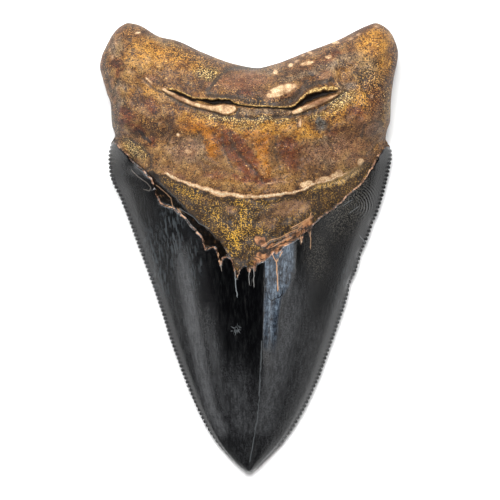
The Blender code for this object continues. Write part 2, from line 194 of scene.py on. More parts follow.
# Lumps (above 0) and pits (below 0) on the lingual face: across, height, both radii in mm, and rise in mm.
LUMPS = (
    (0.106, 0.849, 4.8, 1.9, 0.7),
    (-0.335, 0.700, 4.6, 3.6, 0.8),
    (-0.352, 0.752, 3.4, 1.5, -1.2),
    (-0.395, 0.905, 5.0, 4.5, 0.9),
    (0.395, 0.915, 5.2, 5.0, 0.8),
    (-0.02, 0.862, 6.0, 3.0, -0.7),
    (-0.18, 0.905, 4.0, 1.8, 0.5),
    (0.26, 0.760, 4.5, 3.0, -0.5),
    (0.02, 0.735, 6.0, 4.0, 0.5),
    (-0.22, 0.745, 4.0, 3.0, -0.5),
    (0.185, 0.568, 1.6, 1.4, 0.4),
    (0.211, 0.881, 1.2, 0.9, -0.7),
    (0.248, 0.880, 2.4, 1.6, 0.5),
    (-0.445, 0.800, 3.0, 5.0, -0.6),
    (0.425, 0.790, 3.6, 3.2, -0.6),
    (0.330, 0.700, 4.0, 2.4, 0.45),
)
# Chips out of the right cutting edge: height up the tooth, half length and depth, the last two in mm.
CHIPS = ((0.420, 2.2, 0.5), (0.487, 1.4, 0.4), (0.556, 1.2, 0.3))

# Where each stain of the root lies, with the painted shade of its deepest pits, and each kind of wear on the
# enamel (etched, wrinkle, silver and grainy): across, height, both radii in mm, turn in degrees, and strength.
STAINS = {
    "gold": (
        (-0.278, 0.927, 10.5, 2.8, -17, 0.9), (-0.325, 0.846, 3.5, 1.8, -30, 0.5),
        (-0.409, 0.842, 2.0, 2.0, 0, 0.35), (-0.144, 0.766, 7.5, 2.8, -20, 0.95),
        (0.023, 0.766, 11.0, 2.2, 0, 1.0), (-0.355, 0.913, 5.5, 3.0, -10, 0.6),
        (0.181, 0.757, 7.5, 2.2, 8, 0.75), (0.305, 0.800, 5.5, 2.0, 20, 0.75),
        (0.425, 0.958, 5.0, 3.5, 30, 1.0), (0.459, 0.909, 2.2, 3.5, 0, 0.6),
        (0.372, 0.829, 4.0, 3.2, 15, 0.75), (-0.198, 0.788, 4.5, 1.5, -15, 0.5),
        (-0.030, 0.644, 6.0, 1.2, -5, 0.35),
    ),
    "calm": (
        (0.003, 0.695, 26.0, 8.0, 0, 1.0), (-0.030, 0.869, 8.0, 2.8, 0, 0.6),
        (-0.325, 0.846, 6.5, 2.2, -30, 0.4),
    ),
    "lobe": (
        (0.044, 0.514, 2.1, 1.6, -35, 1.0), (0.047, 0.481, 2.0, 1.0, -30, 1.0),
        (0.114, 0.508, 2.5, 0.65, 28, 0.8), (0.167, 0.532, 2.0, 0.60, 32, 0.75),
    ),
    "slate": (
        (0.241, 0.773, 1.2, 2.0, 12, 0.85),
    ),
    "amber": (
        (0.044, 0.699, 2.2, 6.8, 0, 1.0), (0.027, 0.746, 5.0, 2.0, 0, 0.5),
        (-0.154, 0.762, 6.5, 2.2, -18, 0.8), (-0.124, 0.726, 2.2, 3.5, 0, 0.8),
        (0.365, 0.806, 3.0, 3.0, 15, 0.4), (0.171, 0.766, 4.5, 1.8, 10, 0.3),
    ),
    "rust": (
        (-0.027, 0.704, 9.5, 3.0, -50, 1.0), (-0.074, 0.744, 2.0, 2.2, 0, 0.8),
        (0.134, 0.713, 3.0, 6.0, 6, 0.62), (0.422, 0.840, 3.5, 6.5, 0, 0.5),
        (0.010, 0.650, 7.5, 1.2, -3, 0.7), (-0.111, 0.659, 3.5, 1.5, -15, 0.5),
        (-0.419, 0.791, 3.0, 2.5, 0, 0.8), (-0.375, 0.766, 2.8, 1.5, -30, 0.8),
        (-0.328, 0.733, 1.8, 1.8, 0, 0.6), (-0.325, 0.815, 2.5, 2.0, 0, 0.55),
        (-0.439, 0.900, 1.8, 2.8, 0, 0.5), (0.358, 0.802, 2.2, 1.8, 0, 0.6),
        (0.278, 0.755, 2.5, 1.5, 0, 0.4), (-0.007, 0.842, 2.2, 1.0, 0, 0.6),
        (-0.030, 0.864, 6.0, 1.5, 0, 0.3), (0.482, 0.913, 1.0, 4.0, 0, 0.5),
        (0.271, 0.922, 7.0, 1.5, 18, 0.45), (-0.486, 0.913, 1.2, 3.0, 0, 0.5),
        (0.388, 0.989, 3.0, 1.2, 0, 0.4), (-0.432, 0.980, 2.5, 1.2, 0, 0.4),
    ),
    "olive": (
        (-0.137, 0.886, 4.0, 2.2, -5, 1.0), (0.308, 0.822, 4.5, 2.1, 32, 1.0),
        (0.231, 0.791, 3.5, 1.0, 12, 0.7), (-0.090, 0.788, 8.0, 1.2, -10, 0.8),
        (0.050, 0.782, 9.0, 1.0, 0, 0.85), (-0.007, 0.766, 5.0, 1.2, 0, 0.5),
        (0.459, 0.817, 1.8, 6.0, 0, 0.55), (-0.385, 0.717, 4.2, 2.0, -42, 1.0),
        (-0.271, 0.953, 6.5, 1.0, -20, 0.4), (0.409, 0.873, 3.0, 3.0, 0, 0.4),
        (0.298, 0.655, 7.0, 1.5, 22, 1.0), (0.184, 0.584, 1.1, 1.1, 0, 0.8),
    ),
    "pink": (
        (0.399, 0.773, 4.0, 4.0, 0, 0.5), (0.322, 0.717, 7.5, 5.0, 0, 0.6),
        (-0.265, 0.666, 5.5, 1.2, -25, 0.8), (-0.020, 0.869, 7.5, 2.5, 3, 1.0),
        (-0.124, 0.862, 2.5, 1.8, -20, 0.7), (-0.332, 0.878, 3.0, 1.5, -25, 0.5),
        (0.117, 0.837, 5.0, 2.2, 20, 0.7), (0.218, 0.713, 5.5, 4.0, 0, 0.45),
        (-0.211, 0.717, 5.5, 3.0, 0, 0.5), (0.251, 0.880, 2.2, 1.5, 0, 0.6),
        (-0.147, 0.829, 5.0, 0.75, -18, 0.4),
    ),
    "grey": (
        (-0.442, 0.942, 2.2, 3.0, 0, 0.8), (-0.429, 0.840, 2.2, 4.5, 0, 1.0),
        (-0.455, 0.773, 1.5, 3.5, 0, 0.8), (0.271, 0.717, 5.5, 4.5, 0, 1.1),
        (-0.198, 0.717, 6.5, 3.5, 0, 0.7), (0.057, 0.801, 8.5, 1.1, 2, 1.0),
        (0.288, 0.909, 6.5, 2.0, 18, 0.7), (0.422, 0.768, 3.0, 3.2, 0, 0.6),
        (0.244, 0.778, 1.5, 1.4, 0, 1.0), (0.171, 0.882, 6.5, 1.2, 16, 0.7),
        (0.328, 0.855, 3.5, 2.0, 15, 0.6), (0.392, 0.891, 4.0, 3.5, 0, 0.6),
        (-0.258, 0.833, 3.0, 1.0, -25, 0.5), (0.064, 0.889, 7.0, 1.0, 2, 0.6),
    ),
    "soot": (
        (-0.177, 0.920, 9.5, 1.5, -17, 1.0), (0.050, 0.898, 7.0, 0.88, 4, 0.7),
        (0.271, 0.940, 9.5, 1.2, 18, 0.45), (-0.399, 0.982, 4.5, 1.8, 0, 0.6),
        (-0.479, 0.918, 1.2, 6.0, 0, 0.7), (0.482, 0.895, 1.5, 8.5, 0, 0.7),
        (0.455, 0.987, 3.5, 1.8, 0, 0.4), (-0.332, 0.775, 4.5, 1.5, -42, 0.6),
        (-0.003, 0.822, 14.5, 1.0, 2, 0.7), (0.412, 0.860, 6.0, 7.0, 0, 0.9),
        (-0.455, 0.780, 2.0, 5.0, 0, 0.6), (0.271, 0.815, 5.0, 1.8, 25, 0.5),
        (0.020, 0.780, 13.0, 1.2, 0, 0.6), (-0.134, 0.889, 5.0, 2.2, -10, 0.9),
        (0.469, 0.784, 1.8, 6.0, 0, 0.3), (-0.385, 0.717, 4.5, 2.2, -42, 1.0),
        (0.288, 0.713, 6.5, 3.5, 0, 0.1), (0.399, 0.900, 4.0, 4.0, 0, 0.5),
    ),
    # Painted shade in the root's deepest pits.
    "dark": (
        (-0.352, 0.748, 3.2, 0.65, -50, 1.0), (-0.318, 0.657, 2.0, 1.0, -35, 0.8),
        (0.213, 0.882, 0.8, 0.50, 0, 0.9), (-0.455, 0.737, 1.8, 1.2, 0, 0.6),
    ),
    "cream": (
        (0.107, 0.847, 4.2, 1.4, 21, 1.0), (0.255, 0.880, 1.4, 0.90, 0, 0.5),
        (0.194, 0.908, 1.9, 0.55, 12, 0.95), (0.089, 0.889, 0.8, 0.60, -30, 1.0),
        (0.140, 0.906, 0.9, 0.50, 20, 0.95), (0.204, 0.932, 0.7, 0.45, 0, 0.85),
        (0.266, 0.923, 0.9, 0.50, 8, 1.0), (0.291, 0.955, 1.1, 0.45, 8, 1.0),
        (0.342, 0.963, 0.8, 0.40, 20, 0.85), (0.428, 0.991, 0.7, 0.40, 0, 0.75),
        (-0.373, 0.977, 0.8, 0.42, 12, 1.0), (-0.447, 0.954, 0.4, 0.85, 8, 0.8),
        (-0.463, 0.938, 0.4, 0.65, 0, 0.7), (-0.456, 0.921, 0.5, 0.85, -10, 0.7),
        (-0.333, 0.870, 1.6, 0.30, -42, 0.85), (0.170, 0.775, 0.4, 1.2, 4, 0.95),
        (-0.234, 0.749, 0.5, 0.55, -30, 0.8), (-0.198, 0.739, 1.1, 0.45, -15, 0.6),
        (-0.265, 0.670, 2.2, 0.33, -22, 0.5), (0.409, 0.836, 0.6, 0.42, 0, 0.8),
        (0.181, 0.927, 0.6, 0.40, 0, 0.8), (0.368, 0.973, 0.7, 0.38, 20, 0.75),
        (0.161, 0.915, 0.6, 0.38, 10, 0.7), (-0.422, 0.860, 0.3, 0.60, 0, 0.5),
        (-0.394, 0.822, 0.3, 0.65, -10, 0.55), (0.047, 0.896, 0.5, 0.23, 0, 0.4),
        (-0.147, 0.920, 0.5, 0.25, 0, 0.3), (0.151, 0.922, 0.8, 0.25, 0, 0.4),
        (0.194, 0.640, 2.0, 0.85, 8, 1.0), (0.248, 0.650, 2.2, 0.90, 15, 1.0),
        (0.281, 0.659, 1.0, 0.75, 20, 0.9), (0.375, 0.689, 1.1, 1.1, 0, 0.95),
        (-0.204, 0.713, 1.2, 0.65, -10, 0.7), (-0.455, 0.864, 0.5, 1.5, 8, 0.5),
        (-0.435, 0.846, 0.5, 1.5, 8, 0.45), (-0.449, 0.829, 0.5, 1.2, 0, 0.45),
        (0.303, 0.664, 1.1, 1.1, 0, 1.0), (0.072, 0.643, 2.0, 0.20, 7, 0.8),
        (0.114, 0.645, 1.5, 0.20, -3, 0.7), (0.141, 0.649, 0.8, 0.20, 35, 0.6),
    ),
    "glint": (
        (-0.033, 0.577, 0.9, 7.5, 0, 0.6), (0.003, 0.561, 0.8, 6.5, 0, 0.6),
        (-0.020, 0.575, 3.0, 8.5, 0, 0.65), (-0.047, 0.521, 2.5, 5.0, 0, 0.95),
        (0.278, 0.650, 7.0, 1.5, 22, 1.0), (-0.198, 0.619, 6.0, 1.8, -27, 0.7),
        (0.044, 0.595, 4.0, 1.5, 0, 0.4), (-0.117, 0.575, 3.5, 3.0, -40, 0.6),
        (0.023, 0.521, 2.0, 3.5, 0, 0.6), (-0.090, 0.543, 2.5, 2.0, -45, 0.5),
    ),
    "smooth": (
        (-0.064, 0.588, 1.5, 1.2, 0, 0.9), (0.137, 0.586, 6.0, 2.2, 10, 1.0),
        (0.064, 0.557, 3.0, 2.5, 0, 0.6), (0.184, 0.584, 1.5, 1.5, 0, 1.0),
        (-0.147, 0.606, 3.5, 1.2, -15, 0.4),
    ),
    "etched": (
        (-0.445, 0.690, 3.2, 6.5, 20, 1.0), (-0.459, 0.726, 2.2, 2.2, 0, 1.0),
    ),
    "umber": (
        (0.231, 0.829, 4.5, 2.0, 24, 1.0), (-0.244, 0.835, 3.0, 1.2, -25, 0.75),
        (-0.191, 0.820, 3.0, 1.0, -25, 0.4),
    ),
    "wrinkle": (
        (0.388, 0.608, 3.0, 4.5, -15, 1.0), (0.342, 0.599, 2.2, 1.8, 20, 0.7),
    ),
    "silver": (
        (-0.258, 0.539, 3.8, 11.0, 0, 0.45), (-0.308, 0.468, 2.8, 11.0, 15, 0.4),
        (-0.184, 0.468, 2.2, 8.5, 0, 0.3), (0.322, 0.405, 3.0, 12.5, -16, 0.3),
    ),
    "grainy": (
        (0.325, 0.595, 6.0, 10.5, -22, 0.8), (0.231, 0.483, 3.5, 7.5, 0, 0.5),
        (-0.378, 0.615, 3.5, 8.5, 18, 0.12), (-0.459, 0.699, 2.0, 3.5, 10, 0.5),
    ),
}

# Creases in the root, cut in and darkened with painted shade: depth as a share, half width in mm, and points.
CREASES = (
    (1.0, 0.47, (
        (0.050, 0.900), (0.003, 0.898), (-0.044, 0.899), (-0.077, 0.895), (-0.094, 0.882), (-0.121, 0.860),
        (-0.139, 0.846),
    )),
    (1.0, 0.62, (
        (-0.137, 0.840), (-0.090, 0.832), (-0.030, 0.831), (0.017, 0.820), (0.070, 0.813), (0.124, 0.818),
        (0.164, 0.837), (0.191, 0.855), (0.231, 0.865), (0.278, 0.873),
    )),
    (0.9, 0.40, (
        (0.030, 0.833), (0.050, 0.818), (0.090, 0.820), (0.141, 0.831), (0.174, 0.851), (0.191, 0.869),
    )),
    (0.7, 0.30, ((-0.355, 0.875), (-0.328, 0.857), (-0.301, 0.846), (-0.281, 0.844))),
    (0.5, 0.38, ((-0.429, 0.967), (-0.395, 0.960), (-0.385, 0.935), (-0.405, 0.913), (-0.445, 0.909))),
    (0.7, 0.40, ((-0.479, 0.929), (-0.487, 0.904), (-0.469, 0.873), (-0.462, 0.846))),
    (0.6, 0.40, ((-0.439, 0.873), (-0.452, 0.840), (-0.439, 0.806), (-0.445, 0.775))),
    (0.6, 0.30, ((-0.409, 0.855), (-0.419, 0.824), (-0.395, 0.802), (-0.385, 0.784))),
    (0.7, 0.45, ((-0.469, 0.829), (-0.455, 0.788), (-0.462, 0.757))),
    (0.6, 0.30, ((0.388, 0.878), (0.378, 0.855), (0.392, 0.837), (0.425, 0.831))),
    (0.7, 0.35, ((0.378, 0.746), (0.385, 0.771), (0.419, 0.782), (0.449, 0.775))),
    (0.6, 0.30, ((0.459, 0.748), (0.432, 0.735), (0.405, 0.713))),
    (0.6, 0.60, ((-0.067, 0.753), (-0.050, 0.722), (-0.017, 0.695), (0.023, 0.668), (0.044, 0.648))),
    (0.5, 0.35, ((-0.090, 0.755), (-0.084, 0.717), (-0.057, 0.677))),
    (0.5, 0.30, ((0.094, 0.748), (0.084, 0.713), (0.104, 0.673))),
    (0.9, 0.38, (
        (-0.278, 0.840), (-0.231, 0.821), (-0.177, 0.807), (-0.124, 0.801), (-0.077, 0.788), (-0.044, 0.791),
        (-0.030, 0.808),
    )),
    (0.9, 0.45, (
        (-0.044, 0.788), (0.010, 0.784), (0.070, 0.788), (0.137, 0.790), (0.181, 0.797), (0.231, 0.805),
        (0.271, 0.820), (0.305, 0.837), (0.322, 0.846),
    )),
    (0.5, 0.30, ((0.231, 0.918), (0.271, 0.931), (0.322, 0.924))),
    (0.5, 0.30, ((0.305, 0.909), (0.345, 0.900), (0.372, 0.878))),
    (0.6, 0.30, ((0.164, 0.762), (0.157, 0.784), (0.147, 0.802))),
    (0.5, 0.33, ((-0.281, 0.784), (-0.258, 0.757), (-0.271, 0.726))),
    (0.5, 0.33, ((-0.177, 0.762), (-0.144, 0.735), (-0.151, 0.704))),
    (0.5, 0.33, ((0.271, 0.766), (0.258, 0.739), (0.285, 0.713))),
    (1.0, 0.33, ((-0.412, 0.742), (-0.365, 0.728), (-0.328, 0.702), (-0.328, 0.677), (-0.355, 0.670))),
)

# Dull grey wear along the enamel, which also paints in its soft highlights: strength, half width in mm,
# and points.
WEAR_AND_HIGHLIGHT_BANDS = (
    (0.95, 1.88, (
        (-0.244, 0.543), (-0.214, 0.428), (-0.184, 0.316), (-0.154, 0.216), (-0.124, 0.138), (-0.090, 0.094),
    )),
    (0.2, 5.00, (
        (-0.459, 0.717), (-0.405, 0.617), (-0.332, 0.472), (-0.265, 0.361), (-0.191, 0.216), (-0.131, 0.116),
    )),
    (0.35, 5.50, ((0.244, 0.405), (0.198, 0.294), (0.131, 0.116), (0.090, 0.071))),
    (0.55, 4.25, ((-0.090, 0.283), (-0.044, 0.183), (-0.020, 0.105))),
    (0.45, 2.25, ((-0.164, 0.405), (-0.124, 0.283), (-0.097, 0.194), (-0.077, 0.138))),
    (0.22, 6.00, ((-0.077, 0.194), (-0.030, 0.094), (0.003, 0.009))),
    (0.76, 3.75, ((0.147, 0.494), (0.141, 0.361), (0.111, 0.249), (0.064, 0.134), (0.054, 0.107))),
)

# Fine lines in and over the enamel: tone, strength, and points. The tone goes from 0, dark, over grey to 1,
# copper.
FINE_LINES = (
    (1.0, 0.6, (
        (0.0435, 0.5033), (0.0703, 0.5167), (0.1005, 0.5212), (0.1373, 0.5345), (0.1641, 0.5412),
        (0.1808, 0.5523), (0.2110, 0.5679),
    )),
    (0.0, 0.6, (
        (0.0469, 0.4967), (0.0737, 0.5100), (0.1038, 0.5145), (0.1407, 0.5278), (0.1674, 0.5345),
        (0.1875, 0.5457),
    )),
    (1.0, 0.7, ((0.0770, 0.5011), (0.1105, 0.5134), (0.1407, 0.5212))),
    (0.8, 0.45, ((-0.3081, 0.6379), (-0.2863, 0.6258), (-0.2612, 0.6102), (-0.2545, 0.5906))),
    (0.4, 0.35, (
        (-0.2324, 0.5871), (-0.2143, 0.5791), (-0.1889, 0.5690), (-0.1674, 0.5546), (-0.1340, 0.5423),
    )),
    (0.5, 0.35, (
        (-0.3734, 0.6592), (-0.3617, 0.6526), (-0.3416, 0.6448), (-0.3282, 0.6336), (-0.3332, 0.6258),
        (-0.3483, 0.6292),
    )),
    (0.5, 0.35, ((-0.3952, 0.6726), (-0.3734, 0.6592))),
    (0.9, 0.8, ((-0.2378, 0.5857), (-0.2294, 0.5791))),
    (0.9, 0.8, ((-0.2227, 0.5724), (-0.2177, 0.5668))),
    (0.5, 0.7, ((-0.0954, 0.4677), (-0.0921, 0.4499))),
    (0.4, 0.8, ((-0.0469, 0.4477), (-0.0437, 0.4200), (-0.0409, 0.3920))),
    (0.45, 0.7, ((0.0000, 0.4521), (0.0020, 0.4187))),
    (0.45, 0.7, ((0.0167, 0.4543), (0.0157, 0.4143))),
    (1.0, 0.9, ((0.0780, 0.4850), (0.0925, 0.4680), (0.0954, 0.4053))),
    (1.0, 0.8, ((0.1110, 0.4900), (0.0925, 0.4680))),
    (0.0, 0.9, (
        (0.0519, 0.4499), (0.0536, 0.4165), (0.0636, 0.3898), (0.0770, 0.3808), (0.0904, 0.3875),
        (0.1038, 0.3898), (0.1105, 0.3964), (0.1139, 0.4143),
    )),
    (0.0, 0.8, ((0.0502, 0.4699), (0.0502, 0.4165))),
    (0.0, 0.7, ((0.1005, 0.4900), (0.1018, 0.4098))),
    (1.0, 0.8, ((0.1440, 0.5448), (0.1731, 0.5546), (0.2023, 0.5666), (0.2060, 0.5762))),
    (0.7, 0.8, ((0.1731, 0.5256), (0.1741, 0.5100))),
    (0.8, 0.8, ((0.2060, 0.5345), (0.2070, 0.4989))),
    (0.4, 0.3, ((0.3182, 0.5947), (0.3449, 0.6058))),
    (0.4, 0.3, ((0.3382, 0.5768), (0.3650, 0.5902))),
    (0.4, 0.45, ((0.3717, 0.5256), (0.3851, 0.5167), (0.3918, 0.5033), (0.3851, 0.4922))),
    (0.4, 0.32, ((-0.0366, 0.3202), (-0.0291, 0.3220))),
    (0.4, 0.2, ((-0.0413, 0.3241), (-0.0392, 0.3292))),
    (0.4, 0.36, ((-0.0493, 0.3207), (-0.0563, 0.3234))),
    (0.4, 0.25, ((-0.0508, 0.3162), (-0.0563, 0.3145))),
    (0.4, 0.36, ((-0.0447, 0.3132), (-0.0458, 0.3079))),
    (0.4, 0.4, ((-0.0383, 0.3157), (-0.0314, 0.3122))),
    (0.4, 0.3, ((0.0435, 0.2940), (0.0335, 0.1604), (0.0268, 0.1158), (0.0033, 0.0223))),
    (0.0, 0.5, ((0.0402, 0.2940), (0.0301, 0.1604), (0.0234, 0.1158), (0.0000, 0.0223))),
    (0.0, 0.6, ((0.1273, 0.4053), (0.1139, 0.3831), (0.1038, 0.3385), (0.1005, 0.3051))),
)

# What each face stores for its finish, besides the stains.
FIELDS = (
    "enamel_edge", "gold_edge", "growth", "thread", "slit", "lip", "relief", "roll", "line_side", "line_gap",
    "line_tone", "line_strength", "crease", "copper", "plate", "dull",
)
FAR = 9.0  # in mm, for a place with no line near it

# The mesh: columns and rows close together near the rims, and one row to a serration.
SERRATIONS = 84  # along each cutting edge
RIM_LINES = (0.0, 0.5, 1.3, 2.4, 3.8, 5.4, 7.2)  # mm in from the rim
INNER_COLUMNS = 51
ROOT_ROWS = 17


def curve(points):
    """A smooth curve through points, as a function: cubic pieces that never overshoot."""
    place, value = np.array(points, dtype=float).T
    gap = np.diff(place)
    slope = np.diff(value) / gap
    tangent = np.zeros_like(value)
    tangent[0], tangent[-1] = slope[0], slope[-1]
    turning = slope[:-1] * slope[1:] > 0
    both = slope[:-1][turning] * slope[1:][turning]
    tangent[1:-1][turning] = 2 * both / (slope[:-1] + slope[1:])[turning]

    def at(x):
        i = np.clip(np.searchsorted(place, x) - 1, 0, len(gap) - 1)
        w = np.clip((x - place[i]) / gap[i], 0.0, 1.0)
        start = value[i] * (1 + 2 * w) + tangent[i] * gap[i] * w
        end = value[i + 1] * (3 - 2 * w) - tangent[i + 1] * gap[i] * (1 - w)
        return start * (1 - w) ** 2 + end * w ** 2

    return at


left_edge, right_edge, top_edge = curve(LEFT_EDGE), curve(RIGHT_EDGE), curve(TOP_EDGE)
slit_line, slit_opening, slit_depth = curve(SLIT_LINE), curve(SLIT_OPENING), curve(SLIT_DEPTH)
ridge_height, ridge_line, seam_height = curve(RIDGE_HEIGHT), curve(RIDGE_LINE), curve(SEAM_HEIGHT)
facet_width, fringe_width, thread_width = curve(FACET_WIDTH), curve(FRINGE_WIDTH), curve(THREAD_WIDTH)


def ease(x, low, high):
    """0 below low, 1 above high, and smooth between."""
    t = np.clip((x - low) / (high - low), 0.0, 1.0)
    return t * t * (3 - 2 * t)


def bell(x, reach):
    """1 at 0, falling to about a third at its reach and to nothing past it."""
    return np.exp(-((x / reach) ** 2))


def rough(x, y, grain, seed, octaves=3):
    """Rounded noise of about -1 to 1 over the face, with lumps of the grain's size. Each seed is a pattern."""
    places = zip(x / grain, y / grain)
    return np.fromiter((noise.fractal(Vector((*at, seed)), 0.9, 2.0, octaves) for at in places), float, len(x))


def line_distance(x, y, line):
    """How far each place is from a line of points, in the same units."""
    nearest = np.full(len(x), np.inf)
    for (ax, ay), (bx, by) in zip(line[:-1], line[1:]):
        dx, dy = bx - ax, by - ay
        along = np.clip(((x - ax) * dx + (y - ay) * dy) / (dx * dx + dy * dy), 0.0, 1.0)
        nearest = np.minimum(nearest, (x - ax - along * dx) ** 2 + (y - ay - along * dy) ** 2)
    return np.sqrt(nearest)


def below_line(x, y, line):
    """The distance to a line that crosses the tooth, above 0 towards the tip and below 0 towards the root."""
    line = np.array(line) * (WIDTH, LENGTH)
    level = np.interp(x, line[:, 0], line[:, 1])
    return np.where(y < level, 1.0, -1.0) * line_distance(x, y, line)


# ---------------------------------------------------------------------------------------------------------
# The tooth's mesh
# ---------------------------------------------------------------------------------------------------------


def top_pull(row):
    """How much a row follows the top's outline: not at all in the crown, and fully at the top."""
    return ease(row, 0.66, LOBE_CORNER + 0.04) / ease(LOBE_CORNER, 0.66, LOBE_CORNER + 0.04)


def slit_pull(row):
    """How much a row follows the slit: fully at the slit, and not at all a little way off."""
    return ease(row, 0.765, 0.80) * (1 - ease(row, 0.85, 0.91))


def face_places(share, row):
    """Where a place in the flat grid lies on the tooth, in metres: x across and y up from the tip."""
    across = left_edge(row) * (1 - share) + right_edge(row) * share
    rise = top_edge(across) - LOBE_CORNER
    off_slit = slit_line(across) - SLIT_SIDE - top_pull(SLIT_SIDE) * rise
    sides = ease(share, 0.0, 0.12) * ease(1 - share, 0.0, 0.12)
    height = row + top_pull(row) * rise + slit_pull(row) * sides * off_slit
    return across * WIDTH, height * LENGTH


def flat_grid_lines():
    """The columns and rows of the coarse grid, as shares of the way across and up."""
    rim = np.array(RIM_LINES) * MM
    inner = np.linspace(rim[-1], WIDTH - rim[-1], INNER_COLUMNS)
    columns = np.array([*rim[:-1], *inner, *(WIDTH - rim[-2::-1])]) / WIDTH
    crown = np.linspace(0.0, NECK, SERRATIONS + 1)
    top = LOBE_CORNER - rim[::-1] / LENGTH
    root = np.linspace(NECK, top[0], ROOT_ROWS)
    return columns, np.array([*crown, *root[1:-1], *top])


def between(lines):
    """The same lines with one more half way between each two."""
    halves = (lines[:-1] + lines[1:]) / 2
    return np.array([*np.column_stack((lines[:-1], halves)).flat, lines[-1]])


def lay_grid(columns, rows):
    """A flat grid, x from 0 to 1 across and y up the tooth."""
    face = bmesh.new()
    bmesh.ops.create_grid(face, x_segments=len(columns) - 1, y_segments=len(rows) - 1, size=0.5)
    for i, vert in enumerate(face.verts):
        vert.co = (columns[i % len(columns)], rows[i // len(columns)], 0.0)
    return face


def refine(face, wanted):
    """Cuts every face whose middle is wanted into four."""
    middles = np.array([item.calc_center_median()[:2] for item in face.faces])
    picked = wanted(middles[:, 0], middles[:, 1])
    edges = {edge for item, yes in zip(face.faces, picked) if yes for edge in item.edges}
    bmesh.ops.subdivide_edges(face, edges=list(edges), cuts=1, use_grid_fill=True)


def refine_crown_rim(face):
    """One more point between each two along the cutting edges."""
    edges = [
        edge
        for edge in face.edges
        if edge.is_boundary
        and max(vert.co.y for vert in edge.verts) < NECK + 1e-5
        and abs(edge.verts[0].co.x - edge.verts[1].co.x) < 1e-6
    ]
    bmesh.ops.subdivide_edges(face, edges=edges, cuts=1)


def rim_gap(share, row):
    """How far a place in the grid is from the nearer side, in metres."""
    return np.minimum(share, 1 - share) * (right_edge(row) - left_edge(row)) * WIDTH


def outline():
    """Points round the root's rim, from the left neck over the top to the right neck, in metres."""
    side = np.linspace(0.68, LOBE_CORNER, 50)
    top = np.linspace(TOP_EDGE[0][0], TOP_EDGE[-1][0], 120)
    x = np.array([*left_edge(side), *top[1:-1], *right_edge(side[::-1])]) * WIDTH
    y = np.array([*side, *top_edge(top)[1:-1], *side[::-1]]) * LENGTH
    return np.column_stack((x, y))


def bulge(distance, reach):
    """A quarter round that rises from 0 at the rim to 1 at its reach."""
    t = np.clip(distance / reach, 0.0, 1.0)
    return np.sqrt(1 - (1 - t) ** 2)


def crown_round(x, up):
    """The crown's cross-section: 1 on the ridge, falling to 0 at both cutting edges."""
    ridge = ridge_line(up) * MM
    left = (ridge - x) / (ridge - left_edge(up) * WIDTH)
    right = (x - ridge) / (right_edge(up) * WIDTH - ridge)
    return 1 - np.clip(np.maximum(left, right), 0.0, 1.0) ** 1.8


def roll_shape(x, y, roll):
    """How far each place is into a rounded roll: 1 on its middle line, 0 at its edge."""
    across, height, thick = (np.array(value) for value in zip(*roll))
    spine = np.column_stack((across * WIDTH, height * LENGTH))
    wide = np.interp(x / WIDTH, across, thick) * MM
    return np.clip(1 - line_distance(x, y, spine) / wide, 0.0, 1.0)


